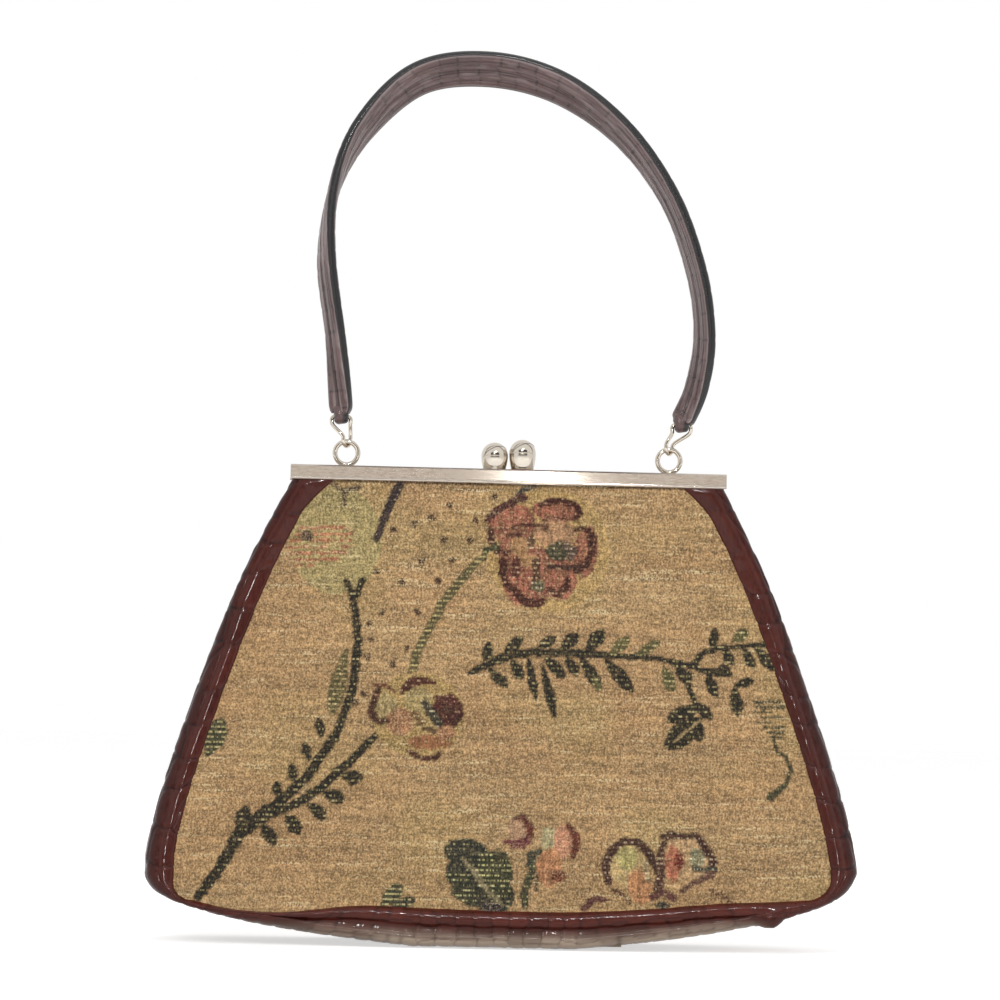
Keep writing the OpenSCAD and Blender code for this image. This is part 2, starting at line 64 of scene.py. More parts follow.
# Sizes of the bag in millimetres, as in the CAD source
BAR_TOP, BAR_LOW, HINGE_Z, TOP_HALF, HALF_W = 196.0, 190.0, 156.0, 88.5, 144.8
FLAT_HALF, WIDEST, PULL_X, PULL_Z, CORNER_Z = 50.0, 35.0, 139.2, 79.95, 8.05
TOP_D, BASE_D, STRIP_W, BELLY, FOLD_D = 7.2, 38.0, 12.0, 5.0, 33.0
EDGE_R, TAB_R, GUSSET_TOP, PANEL_TOP, PANEL_LOW = 5.1, 2.7, 150.5, 193.0, 14.0
RING_X, RING_Y, RING_Z, RING_R, RING_WIRE = 67.0, 4.25, 201.55, 4.75, 2.1
LINK_LOW, LINK_C, LINK_HALF, LINK_BEND, LINK_WIRE, LINK_HOOK = 204.4, 12.3, 3.95, 2.638, 1.7, 3.3
EYE_Z, EYE_D, EYE_HOLE, EYE_LEFT, EYE_RIGHT = 216.7, 5.2, 2.5, -69.5, 72.0

# Sizes that only the leather and cloth have
BOW, BOW_Z = 2.5, 155.0             # how far the filled sides bow out, and where most
CLOTH_LOW, CLOTH_TUCK = 8.0, 2.6    # lowest row of the cloth, and how far it runs under the leather
BASE_LIFT = 0.95                    # keeps the embossed underside above the floor
STRIP_TOP, LINING_TOP, SHADE_Z = 192.5, 192.6, 188.7    # under the frame's bar
SPARE_X = 109.0                     # where spare leather folds at the front right corner
WIDE_CELL, SMALL_CELL = (15.5, 14.0), (7.2, 6.3)        # scales on the sides and along the foot
WEFT_ROW, WEFT_BEAD = 0.00206, 0.0013                   # spacing of the weave, in metres


# Colours and small maths
def lin(rgb):
    """Linear red, green and blue of an sRGB colour written as 0xRRGGBB."""
    c = np.array([rgb >> 16, rgb >> 8 & 255, rgb & 255]) / 255
    return np.where(c <= 0.04045, c / 12.92, ((c + 0.055) / 1.055) ** 2.4)


def rgba(rgb):
    return tuple(lin(rgb)) + (1.0,)


def lerp(a, b, k):
    return a * (1 - k) + b * k


def smooth(v):
    v = np.clip(v, 0, 1)
    return v * v * (3 - 2 * v)


def circle(n):
    return np.linspace(0, 2 * np.pi, n, endpoint=False)


def bez(a, b, c, t):
    return a * (1 - t) ** 2 + 2 * b * t * (1 - t) + c * t ** 2


def slope(a, b, c, t):
    return 2 * (b - a) * (1 - t) + 2 * (c - b) * t


def place(a, b, c, z):
    """Where along a quadratic curve the height is z."""
    root = np.sqrt(np.maximum(0, 4 * (a - b) ** 2 - 4 * (a - 2 * b + c) * (a - z)))
    return 2 * (a - z) / (2 * (a - b) + root)


def bow(z):
    """How far the filled sides bow out, most of all below the frame."""
    return BOW * np.exp(-((z - BOW_Z) / np.where(z > BOW_Z, 28, 50)) ** 2)


def half_at(z):
    """Half the bag's width at a height."""
    z = np.asarray(z, float)
    side = bez(TOP_HALF, PULL_X, HALF_W, place(BAR_LOW, PULL_Z, WIDEST, np.clip(z, WIDEST, BAR_LOW))) + bow(z)
    low = bez(HALF_W, HALF_W, FLAT_HALF, place(WIDEST, CORNER_Z, 0, np.clip(z, 0, WIDEST)))
    return np.where(z >= WIDEST, side, low)


def depth_at(z):
    """Half the bag's depth at a height."""
    return TOP_D + (BASE_D - TOP_D) * np.clip(1 - np.asarray(z, float) / HINGE_Z, 0, 1) ** 1.2


def fold_at(z):
    """How deep the gusset folds inwards at a height."""
    return FOLD_D * smooth((np.asarray(z, float) - WIDEST) / (GUSSET_TOP - WIDEST))


def strip_at(z):
    """Width of the leather strip along a panel's side."""
    return STRIP_W + 5.5 * np.clip((np.asarray(z, float) - 176) / 14, 0, 1) ** 1.7


def swell(share, z):
    """Belly of a panel; share runs from -1 to 1 across it."""
    up = np.clip((z - PANEL_LOW) / (BAR_LOW - PANEL_LOW), 0, 1)
    return BELLY * (1 - share ** 2) * np.sin(np.pi * up)


def frac_hash(i, j, seed):
    v = np.sin(i * 127.1 + j * 311.7 + seed * 74.7) * 43758.5453
    return v - np.floor(v)


def value_noise(x, y, seed):
    """Smooth noise from 0 to 1 with a cell of 1."""
    i, j = np.floor(x), np.floor(y)
    u, v = smooth(x - i), smooth(y - j)
    low = lerp(frac_hash(i, j, seed), frac_hash(i + 1, j, seed), u)
    high = lerp(frac_hash(i, j + 1, seed), frac_hash(i + 1, j + 1, seed), u)
    return lerp(low, high, v)


def scales(a, b, seed, jitter):
    """Embossed scale pattern: gap to the nearest crease, in cells, and a number for each cell."""
    ia, ib = np.floor(a), np.floor(b)
    f1, f2, tone = np.full(a.shape, 9.0), np.full(a.shape, 9.0), np.zeros(a.shape)
    for di in (-1, 0, 1):
        for dj in (-1, 0, 1):
            ci, cj = ia + di, ib + dj
            px = ci + 0.5 + jitter * (frac_hash(ci, cj, seed) - 0.5)
            py = cj + 0.5 + jitter * (frac_hash(ci, cj, seed + 5) - 0.5)
            d = ((a - px) ** 4 + (b - py) ** 4) ** 0.25
            near = d < f1
            f2 = np.where(near, f1, np.minimum(f2, d))
            tone = np.where(near, frac_hash(ci, cj, seed + 9), tone)
            f1 = np.where(near, d, f1)
    return f2 - f1, tone


# Meshes
def link_object(name, mesh, material, shade=True):
    obj = bpy.data.objects.new(name, mesh)
    bpy.context.scene.collection.objects.link(obj)
    mesh.materials.append(material)
    if shade:
        shade_smooth(mesh)
    return obj


def shade_smooth(mesh):
    mesh.polygons.foreach_set("use_smooth", np.ones(len(mesh.polygons), bool))


def mesh_from(name, points, faces, material):
    """Points in millimetres and faces as lists of their numbers."""
    mesh = bpy.data.meshes.new(name)
    mesh.from_pydata((np.reshape(points, (-1, 3)) * MM).tolist(), [], faces)
    mesh.validate()
    mesh.update()
    return link_object(name, mesh, material)


def grid_faces(ni, nj, on=None, wrap_i=False, wrap_j=False, flip=False):
    i, j = np.indices((ni if wrap_i else ni - 1, nj if wrap_j else nj - 1)).reshape(2, -1)
    if on is not None:
        keep = on[i, j]
        i, j = i[keep], j[keep]
    i2, j2 = (i + 1) % ni, (j + 1) % nj
    q = np.stack([i * nj + j, i * nj + j2, i2 * nj + j2, i2 * nj + j], 1)
    return (q[:, ::-1] if flip else q).tolist()


def capped_faces(ni, nj, flip=False):
    """Faces of a closed tube of ni rings with nj points each."""
    first, last = list(range(nj)), list(range((ni - 1) * nj, ni * nj))
    caps = [first, last[::-1]] if flip else [first[::-1], last]
    return grid_faces(ni, nj, wrap_j=True, flip=flip) + caps


def drop_loose(obj):
    """Remove points that no face uses."""
    b = bmesh.new()
    b.from_mesh(obj.data)
    bmesh.ops.delete(b, geom=[v for v in b.verts if not v.link_faces], context="VERTS")
    b.to_mesh(obj.data)
    b.free()


def grid_normals(p):
    n = np.cross(np.gradient(p, axis=0), np.gradient(p, axis=1))
    return n / np.maximum(np.linalg.norm(n, axis=2, keepdims=True), 1e-9)


def set_colour(obj, name, *layers):
    """Store four numbers for each point as a colour attribute."""
    attribute = obj.data.color_attributes.new(name, "FLOAT_COLOR", "POINT")
    values = np.stack(np.broadcast_arrays(*layers), -1)
    attribute.data.foreach_set("color", values.astype(np.float32).ravel())


def tube(name, path, radius, sides, material):
    """A closed ring of round wire along a path of points, with frames carried along it."""
    tangent = np.roll(path, -1, 0) - np.roll(path, 1, 0)
    tangent /= np.linalg.norm(tangent, axis=1, keepdims=True)
    up = np.cross(tangent[0], [0.3, 1.0, 0.2])
    frames = []
    for t in tangent:
        up = up - (up @ t) * t
        up /= np.linalg.norm(up)
        frames.append(up.copy())
    u = np.array(frames)
    v = np.cross(tangent, u)
    g = circle(sides)[None, :, None]
    p = path[:, None] + radius * (np.cos(g) * u[:, None] + np.sin(g) * v[:, None])
    return mesh_from(name, p, grid_faces(len(path), sides, wrap_i=True, wrap_j=True), material)


def lathe(name, cx, cy, profile, sides, flip):
    """A turned piece of polished metal from pairs of radius and height."""
    g = circle(sides)
    pts = [np.stack([cx + r * np.cos(g), cy + r * np.sin(g), 0 * g + z], -1) for r, z in profile]
    return mesh_from(name, pts, capped_faces(len(profile), sides, flip), POLISHED)


# Materials
class Nodes:
    """Short calls for the shader nodes of a material or the world."""

    def __init__(self, owner):
        owner.use_nodes = True
        self.owner = owner
        self.nodes, self.links = owner.node_tree.nodes, owner.node_tree.links

    def put(self, sockets, values):
        """Set sockets by name or number, each to a value of its own or to the output that feeds it."""
        for key, value in values.items():
            if hasattr(value, "is_output"):
                self.links.new(value, sockets[key])
            else:
                sockets[key].default_value = value

    def new(self, kind, values=None):
        node = self.nodes.new("ShaderNode" + kind)
        self.put(node.inputs, values or {})
        return node

    def place(self):
        return self.new("TexCoord").outputs["Object"]

    def noise(self, scale, detail=2.0, rough=0.5, vector=None):
        """Noise of one scale, or stretched where the scale is three numbers."""
        if isinstance(scale, tuple):
            vector = self.new("Mapping", {"Vector": self.place(), "Scale": scale}).outputs[0]
            scale = 1.0
        values = {"Scale": scale, "Detail": detail, "Roughness": rough}
        if vector is not None:
            values["Vector"] = vector
        return self.new("TexNoise", values).outputs["Fac"]

    def ranged(self, value, a, b, lo=0.0, hi=1.0):
        values = {"Value": value, "From Min": a, "From Max": b, "To Min": lo, "To Max": hi}
        return self.new("MapRange", values).outputs["Result"]

    def mix(self, factor, a, b, kind="MIX"):
        node = self.nodes.new("ShaderNodeMix")
        node.data_type, node.blend_type = "RGBA", kind
        self.put(node.inputs, {0: factor, 6: a, 7: b})
        return node.outputs[2]

    def shade(self, colour, amount):
        return self.mix(1.0, colour, amount, "MULTIPLY")

    def maths(self, kind, a, b=0.0):
        node = self.nodes.new("ShaderNodeMath")
        node.operation = kind
        self.put(node.inputs, {0: a, 1: b})
        return node.outputs[0]

    def times(self, a, b):
        return self.maths("MULTIPLY", a, b)

    def most(self, a, b):
        return self.maths("MAXIMUM", a, b)

    def bump(self, height, strength, distance):
        return self.new("Bump", {"Height": height, "Strength": strength, "Distance": distance}).outputs["Normal"]

    def attribute(self, name):
        node = self.nodes.new("ShaderNodeVertexColor")
        node.layer_name = name
        return node.outputs["Color"], node.outputs["Alpha"]

    def finish(self, values):
        """Set sockets of the principled shader and hand back the material."""
        self.put(self.nodes["Principled BSDF"].inputs, values)
        return self.owner


def new_material(name):
    return Nodes(bpy.data.materials.new(name))


GROUND = 0xAA8A60


def tapestry_material():
    """Cloth: "cloth" holds the colour and how much is figured, "thread" the light weft between dark rows."""
    s = new_material("tapestry")
    cloth, figured = s.attribute("cloth")
    weft_colour, dark = s.attribute("thread")
    x, _, z = s.new("SeparateXYZ", {0: s.place()}).outputs
    # Rows of weft, with light beads between the dark threads
    row = s.maths("DIVIDE", z, WEFT_ROW)
    middle = s.maths("ABSOLUTE", s.maths("SUBTRACT", s.maths("FRACT", row), 0.5))
    line = s.ranged(middle, 0.10, 0.26, 1.0, 0.0)
    along_row = {0: s.maths("DIVIDE", x, WEFT_BEAD), 1: s.times(s.maths("FLOOR", row), 7.31)}
    bead = s.noise(1.0, 2.0, 0.6, s.new("CombineXYZ", along_row).outputs[0])
    shown = s.ranged(s.maths("ADD", bead, s.times(dark, 0.2)), 0.60, 0.68)
    light = s.times(s.times(line, shown), s.ranged(dark, 0.0, 0.6, 0.0, 0.9))
    c = s.mix(light, cloth, weft_colour)
    # Ground threads that show through the figures
    through = s.ranged(s.noise((620, 620, 1250), 2.0, 0.6), 0.48, 0.62, 0.0, 0.6)
    c = s.mix(s.times(figured, through), c, rgba(GROUND))
    # Uneven threads
    weft, grain = s.noise((260, 260, 1000), 3.0, 0.65), s.noise((1400, 1400, 1150), 2.0, 0.6)
    streak, warp = s.noise((22, 22, 360)), s.noise((1150, 1150, 260), 2.0, 0.6)
    for value, lo, hi in ((weft, 0.6, 1.3), (grain, 0.44, 1.5), (streak, 0.78, 1.22), (warp, 0.7, 1.3)):
        c = s.shade(c, s.ranged(value, 0.28, 0.72, lo, hi))
    # Pale tips and weft lines on the plain ground, painted glints of metallic thread, and bright beads on the figures
    plain = s.ranged(dark, 0.0, 0.4, 1.0, 0.1)
    c = s.mix(s.times(plain, s.ranged(grain, 0.5, 0.72, 0.0, 0.5)), c, rgba(0xDAC298))
    pale = s.times(s.ranged(s.noise((45, 45, 700)), 0.58, 0.7, 0.0, 0.7), s.ranged(grain, 0.42, 0.58))
    cells = s.new("TexVoronoi", {"Scale": 520}).outputs
    red = s.new("SeparateColor", {0: cells["Color"]}).outputs[0]
    glint = s.times(s.ranged(cells["Distance"], 0.1, 0.24, 1.0, 0.0), s.ranged(red, 0.4, 0.8, 0.0, 0.85))
    bright = s.times(s.times(line, dark), s.ranged(bead, 0.6, 0.68))
    glint = s.times(s.most(glint, pale), plain)
    c = s.mix(s.most(glint, bright), c, rgba(0xE8D4A6))
    height = s.maths("ADD", s.times(weft, 0.7), s.times(grain, 0.5))
    return s.finish({"Base Color": c, "Roughness": 0.72, "Specular IOR Level": 0.25, "Sheen Weight": 0.06,
                     "Sheen Roughness": 0.4, "Normal": s.bump(height, 0.6, 0.0006)})


def leather_material(name, face, deep, light, sheen_colour, rough, coat, gloss):
    """Embossed leather. The attribute "hide" holds crease, tone, dark edge and painted sheen; some pieces also put
    painted shade in the crease and dark-edge channels.
    """
    s = new_material(name)
    hide, painted_sheen = s.attribute("hide")
    crease, tone, edge = s.new("SeparateColor", {0: hide}).outputs
    cloud, fine = s.noise(45, 4.0, 0.6), s.noise(900, 3.0, 0.6)
    c = s.mix(s.ranged(cloud, 0.35, 0.7, 0.0, 0.7), rgba(face), rgba(light))
    c = s.shade(c, s.ranged(tone, 0, 1, 0.6, 1.5))
    c = s.shade(c, s.ranged(fine, 0.3, 0.7, 0.88, 1.12))
    # Creases and painted shade go to the deep colour, dark edges to near black, and the painted sheen to its pale
    # colour
    for amount, colour in ((crease, deep), (edge, 0x1E1C1E), (painted_sheen, sheen_colour)):
        c = s.mix(amount, c, rgba(colour))
    return s.finish({"Base Color": c, "Roughness": s.ranged(cloud, 0.3, 0.75, rough - 0.06, rough + 0.12),
                     "Specular IOR Level": gloss, "Coat Weight": coat, "Coat Roughness": 0.13,
                     "Normal": s.bump(fine, 0.25, 0.00025)})


def nickel_material():
    s = new_material("nickel")
    brushed, cloud = s.noise((90, 1500, 1500), 3.0, 0.6), s.noise(70, 4.0, 0.6)
    c = s.mix(s.ranged(cloud, 0.4, 0.7), rgba(0xCCC2B7), rgba(0xBAADA0))
    rough = s.maths("ADD", s.ranged(cloud, 0.3, 0.8, 0.05, 0.09), s.ranged(brushed, 0.3, 0.7, 0.0, 0.03))
    return s.finish({"Base Color": c, "Metallic": 1.0, "Roughness": rough,
                     "Normal": s.bump(brushed, 0.02, 0.0001)})


def polished_material():
    s = new_material("polished_nickel")
    cloud = s.noise(220, 3.0, 0.6)
    c = s.mix(s.ranged(cloud, 0.45, 0.75), rgba(0xD6CEC2), rgba(0xB8AA94))
    return s.finish({"Base Color": c, "Metallic": 1.0, "Roughness": s.ranged(cloud, 0.3, 0.8, 0.05, 0.16)})


def satin_material():
    s = new_material("satin")
    thread, cloud = s.noise((1800, 400, 150)), s.noise(30, 3.0)
    c = s.mix(s.ranged(cloud, 0.3, 0.7), rgba(0x70523C), rgba(0x86654A))
    c = s.shade(c, s.ranged(thread, 0.3, 0.7, 0.86, 1.14))
    return s.finish({"Base Color": c, "Roughness": 0.42, "Sheen Weight": 0.3,
                     "Normal": s.bump(thread, 0.2, 0.0003)})


def board_material():
    s = new_material("board")
    fibre = s.noise(260, 5.0, 0.65)
    c = s.mix(s.ranged(fibre, 0.35, 0.65), rgba(0x8C7E6C), rgba(0xA69782))
    return s.finish({"Base Color": c, "Roughness": 0.85, "Normal": s.bump(fibre, 0.3, 0.0004)})


TAPESTRY = tapestry_material()
LEATHER = leather_material("leather", 0x461B15, 0x1E0B0A, 0x5A271D, 0xB2A08E, 0.3, 0.32, 0.08)
STRAP = leather_material("strap_leather", 0x5E4644, 0x221818, 0x74605F, 0xA49694, 0.3, 0.35, 0.3)
NICKEL = nickel_material()
POLISHED = polished_material()
# Dark ring material for the clasp balls: painted shade of the groove where their shells join
GROOVE_SHADE = leather_material("seam", 0x342F2B, 0x1E1B19, 0x46403A, 0x46403A, 0.35, 0.0, 0.3)
SATIN = satin_material()
BOARD = board_material()

# The camera, whose rays place the pattern and the foot of the panel
ROLL = math.radians(1.28)
UNIT, DIST, PIXELS = 0.412, 1900.0, 1000
AIM = np.array([-3.6, -8.5, 183.2])
EYE = np.array([-105.0, -8.5 - DIST, 110.0])
AHEAD = (AIM - EYE) / np.linalg.norm(AIM - EYE)
FOCAL = np.linalg.norm(AIM - EYE) / UNIT
LEVEL = np.array([AHEAD[1], -AHEAD[0], 0]) / math.hypot(AHEAD[0], AHEAD[1])
RIGHT = LEVEL * math.cos(ROLL) + np.cross(LEVEL, AHEAD) * math.sin(ROLL)
UP = np.cross(LEVEL, AHEAD) * math.cos(ROLL) - LEVEL * math.sin(ROLL)


def at(px, py):
    """Where a place in the picture falls on the front panel, as X and Z."""
    ray = AHEAD * FOCAL + RIGHT * (px - PIXELS / 2) - UP * (py - PIXELS / 2)
    y = 20.0
    for _ in range(6):
        point = EYE + ray * (-y - EYE[1]) / ray[1]
        share = np.clip(point[0] / 125, -1, 1)
        y = float(depth_at(point[2]) + swell(share, np.clip(point[2], PANEL_LOW, BAR_LOW)))
    return point[[0, 2]]


# Where the leather's inner edge runs along the panel's foot
FOOT = np.array([at(*q) for q in (
    (189, 897), (199, 901), (225, 908), (250, 911), (283, 912.5), (315, 909), (356, 904), (392, 905), (426, 908),
    (470, 909.5), (517, 911), (570, 911.5), (620, 909.5), (660, 908), (695, 904.5), (740, 902), (780, 901),
    (812, 899), (822, 897))])


def band_z(x):
    """Height of the leather band's upper edge."""
    fine = np.linspace(-150, 150, 601)
    z = np.interp(fine, FOOT[:, 0], FOOT[:, 1])
    z = np.convolve(np.pad(z, 12, mode="edge"), np.ones(25) / 25, mode="valid")
    return np.interp(x, fine, z)


# Lower corners, left and right: start and pull of the curve, how long the side is held, the panel's
# corner radius and where the flat of the base starts
CORNERS = {-1: (28.0, 9.5, 0.07, 6.0, 36.0), 1: (35.0, 11.0, 0.0, 9.0, 30.0)}


def stations(u, side):
    """Edge point, outward normal and panel edge point in X and Z for places u down the outline."""
    start, pull, hold, radius, flat = CORNERS[side]
    u = np.asarray(u, float)
    t1, t2, t3 = np.clip(u, 0, 1), np.clip(u - 1, 0, 1), np.clip(u - 2, 0, 1)
    q2 = np.clip((t2 - hold) / (1 - hold), 0, 1)
    z1 = bez(BAR_LOW - 0.3, PULL_Z, WIDEST, t1)
    x1 = bez(TOP_HALF, PULL_X, HALF_W, t1) + bow(z1)
    x2 = bez(HALF_W, HALF_W, flat, q2)
    z2 = np.where(t2 < hold, WIDEST + (start - WIDEST) * t2 / max(hold, 0.01), bez(start, pull, 0, q2))
    d1 = np.stack([slope(TOP_HALF, PULL_X, HALF_W, t1), slope(BAR_LOW, PULL_Z, WIDEST, t1)], -1)
    d2 = np.stack([slope(HALF_W, HALF_W, flat, q2), slope(start, pull, 0, q2)], -1)
    z1 = z1 - 135 * np.minimum(u, 0)
    x3 = flat * (1 - t3)

    def piecewise(on_side, on_corner, on_base):
        return np.where(u <= 1, on_side, np.where(u <= 2, on_corner, on_base))

    x, z = piecewise(x1, x2, x3), piecewise(z1, z2, 0)
    d = np.where((u <= 1)[:, None], d1, np.where((u <= 2)[:, None], d2, np.array([-1.0, 0])))
    d = d / np.linalg.norm(d, axis=1, keepdims=True)
    n = np.stack([-d[:, 1], d[:, 0]], -1)
    # The panel's edge: down the strip, round the corner and along the band
    ex = HALF_W - STRIP_W
    foot = band_z(side * (ex - radius))
    turn = np.clip((t2 - 0.15) / 0.3, 0, 1) * np.pi / 2
    run = np.clip((t2 - 0.45) / 0.55, 0, 1)
    cx = np.where(t2 < 0.15, ex, np.where(t2 < 0.45, ex - radius * (1 - np.cos(turn)),
                                          ex - radius + (flat - ex + radius) * run))
    cz = np.where(t2 < 0.15, WIDEST + (foot + radius - WIDEST) * t2 / 0.15,
                  np.where(t2 < 0.45, foot + radius * (1 - np.sin(turn)), band_z(side * cx)))
    e = np.stack([piecewise(x1 - strip_at(z1), cx, x3), piecewise(z1, cz, band_z(side * x3))], -1)
    return np.stack([x, z], -1), n, e


# The tapestry's pattern
class Pattern:
    """Paints simple shapes over the cloth's points, with a colour and the light weft between dark rows.

    Places and widths are in picture units. A look is a colour, how much the shape is figured, the light
    weft's colour and share and, for discs, how streaky it is."""

    def __init__(self, x, z, ground):
        self.x, self.z, self.colour = x, z, ground
        self.thread = np.zeros(x.shape + (4,))
        self.figure = np.zeros(x.shape)
        self.ragged = 1.1 * (value_noise(x / 1.9, np.floor(z / 1.03) * 5.7, 3) - 0.5)
        self.streak = 0.62 + 0.76 * value_noise(x / 0.95, z / 6.0, 4)

    def paint(self, inside, rgb, figure, second=None, stripe=0.0, streaks=0.0):
        """inside is a distance in mm, above 0 within the shape."""
        k = smooth((inside + self.ragged) / 0.6 + 0.5)
        self.figure = np.maximum(self.figure, k * figure)
        k = k[..., None]
        self.colour = lerp(self.colour, lin(rgb) * (1 + streaks * (self.streak[..., None] - 1)), k)
        self.thread = lerp(self.thread, np.append(lin(second or rgb), stripe), k)

    def oval(self, cx, cy, rx, ry, turn=0.0):
        c, g = at(cx, cy), math.radians(turn)
        dx, dz = self.x - c[0], self.z - c[1]
        u, v = dx * math.cos(g) + dz * math.sin(g), -dx * math.sin(g) + dz * math.cos(g)
        rx, ry = rx * UNIT, ry * UNIT
        return (1 - np.sqrt((u / rx) ** 2 + (v / ry) ** 2)) * min(rx, ry)

    def blob(self, *shapes):
        return np.max([self.oval(*shape) for shape in shapes], axis=0)

    def stroke(self, points, width, *look):
        """A line through points; the width may differ along it."""
        pts = np.array([at(*q) for q in np.reshape(points, (-1, 2))])
        w = np.broadcast_to(np.asarray(width, float), (len(pts),)) * UNIT / 2
        best = np.full(self.x.shape, -1e9)
        for a, b, wa, wb in zip(pts[:-1], pts[1:], w[:-1], w[1:]):
            d = b - a
            t = np.clip(((self.x - a[0]) * d[0] + (self.z - a[1]) * d[1]) / (d @ d), 0, 1)
            gap = np.hypot(self.x - a[0] - t * d[0], self.z - a[1] - t * d[1])
            best = np.maximum(best, wa + (wb - wa) * t - gap)
        self.paint(best, *look)

    def leaf(self, px, py, qx, qy, width, *look):
        """A blade from p to q, widest a little past its middle."""
        a, b = at(px, py), at(qx, qy)
        d = b - a
        size = np.hypot(*d)
        u = ((self.x - a[0]) * d[0] + (self.z - a[1]) * d[1]) / size ** 2
        v = np.abs(-(self.x - a[0]) * d[1] + (self.z - a[1]) * d[0]) / size
        half = 1.1 * width * UNIT / 2 * np.sin(np.pi * np.clip(u, 0, 1) ** 1.3) ** 0.6
        beyond = np.maximum(np.abs(u - 0.5) - 0.5, 0) * size
        self.paint(np.where((u > 0) & (u < 1), half - v, -beyond - v), *look)

    def discs(self, *rows):
        for shape, *look in rows:
            self.paint(self.oval(*shape), *look)

    def strokes(self, *rows):
        for row in rows:
            self.stroke(*row)

    def leaves(self, rows, look):
        for row in rows:
            self.leaf(*row, *look)

    def dashes(self, spans, y, step, rise, *look):
        """Short level lines below each other, each from a to b."""
        for k, (a, b) in enumerate(spans):
            self.stroke((a, y + step * k, b, y - rise + step * k), 2.6, *look)


DARK, DARK_RIB = 0x1B1913, 0xA49864
OLIVE, OLIVE_RIB = 0x524E30, 0xBAAE76
PLUM, RED, ROSE, PALE_ROSE = 0x302628, 0x3E1A15, 0x925644, 0xCEA084
INK, THIN = (DARK, 1.0, DARK_RIB, 0.5), (OLIVE, 0.9, OLIVE_RIB, 0.75)


def big_flower(p):
    p.discs(((548, 550, 62, 62), 0xB4935C, 0.05))
    body = p.blob((512, 523, 24, 20), (556, 512, 24, 11, -6), (585, 552, 13, 26, -8), (530, 575, 28, 32, -14),
                  (515, 552, 18, 24), (560, 578, 17, 22))
    p.paint(body, ROSE, 0.8, PALE_ROSE, 0.3, 1.6)
    p.discs(((555, 534, 22, 14), 0xB08662, 0.3, 0xC49876, 0.3, 1.0),
            ((520, 547, 10, 12), 0xAA8058, 0.3, 0xC4A074, 0.4, 1.0),
            ((528, 560, 12, 7), 0xAA8058, 0.3, 0xC4A074, 0.4, 1.0))
    p.strokes(
        ((487, 520, 493, 513, 504, 507, 516, 500, 524, 497), (6, 7, 8, 9, 8), 0x442020, 1.0, 0x966454, 0.3),
        ((541, 505, 552, 501, 564, 502, 576, 505, 580, 514, 574, 519), (5, 7, 7, 7, 7, 5), RED, 1.0, 0xA86E5C, 0.4),
        ((543, 519, 556, 518, 566, 518), 3.5, 0x64342C, 0.9),
        ((514, 527, 530, 525, 546, 527), 5, 0x4C2820, 1.0, 0xB08468, 0.5),
        ((490, 527, 491, 540, 497, 551, 506, 553), (5, 7, 7, 6), 0x42201C, 1.0, 0xC4A080, 0.5),
        ((508, 535, 520, 535), 5, 0x4E2A22, 1.0, 0xBA8C6C, 0.5),
        ((576, 529, 586, 529, 593, 538, 592, 550, 587, 563, 576, 570), (4, 6, 9, 8, 8, 7), RED, 1.0, 0xA06854, 0.35),
        ((503, 562, 503, 574, 507, 584, 517, 594, 527, 603, 537, 605, 544, 600), (8, 8, 8, 9, 9, 7, 6), RED, 1.0,
         0xB07C64, 0.4),
        ((516, 560, 516, 574), 9, 0x542A22, 1.0, 0xC8A082, 0.6),
        ((536, 562, 537, 576, 533, 588), (8, 8, 7), 0x482E22, 1.0, 0xB0926E, 0.6),
        ((549, 590, 558, 594, 566, 588, 568, 580), (6, 8, 8, 6), RED, 1.0, 0xBE8C70, 0.4),
        ((550, 566, 566, 568, 578, 566), 5, 0x402622, 1.0, 0xA88C6E, 0.5))
    p.discs(((531, 542, 5, 8), 0x583E2E, 0.9, 0xD2B48C, 0.7),
            ((559, 551, 13, 10), 0x3C3A2A, 1.0, 0x968C6C, 0.7))
    p.stroke((566, 545, 574, 550, 570, 558), 8, 0x4A3A34, 1.0, 0x96826E, 0.8)
    p.discs(((538, 586, 7, 6), 0x58543C, 0.9, 0xC8BEA0, 0.7))
    p.stroke((486, 551, 496, 547), 6, 0x40422C, 1.0, 0xB0AA76, 0.6)


def small_flower(p):
    p.discs(((418, 715, 46, 42), 0xAA8C56, 0.05),
            ((385, 707, 13, 14), 0xA28C5E, 0.2, 0xD6C496, 0.3, 1.0),
            ((418, 700, 14, 14), 0xA6905E, 0.2, 0xD6C496, 0.3, 1.0),
            ((400, 722, 14, 14), 0xA07250, 0.2, None, 0, 1.0))
    p.strokes(
        ((375, 686, 385, 685, 395, 692), (4, 5, 3), 0x68382A, 0.9, 0xAA8260, 0.3),
        ((378, 690, 374, 701, 371, 712, 376, 721, 388, 722), (6, 7, 8, 7, 5), 0x402219, 1.0, 0xB08C70, 0.45),
        ((403, 690, 411, 683, 420, 680, 433, 682), (7, 10, 9, 6), 0x48231B, 1.0, 0xAC8468, 0.45))
    p.discs(((447, 712, 16, 18, -25), 0x441C19, 1.0, 0x9C6458, 0.45))
    p.strokes(
        ((438, 698, 450, 706, 457, 718), (9, 12, 11), 0x401A18, 1.0, 0x965A50, 0.35),
        ((425, 704, 432, 714, 439, 724), (7, 11, 8), 0x343228, 1.0, 0xA69C80, 0.55),
        ((415, 713, 421, 722), 7, 0x684C32, 0.7, 0xC4AA7A, 0.8),
        ((424, 729, 438, 732), 5, 0x523C2A, 0.9, 0xAA9670, 0.5))
    p.discs(((428, 742, 22, 7), 0xA46E4A, 0.4, 0xCC9A6E, 0.4, 1.0),
            ((446, 733, 9, 8), 0xA2704E, 0.3, None, 0, 1.0))
    p.strokes(
        ((407, 750, 416, 756, 426, 759, 436, 757, 440, 752), (3, 6, 7, 6, 4), 0x46221B, 1.0, 0xBE967A, 0.55),
        ((440, 752, 462, 753), 2, 0x80623C, 0.3))


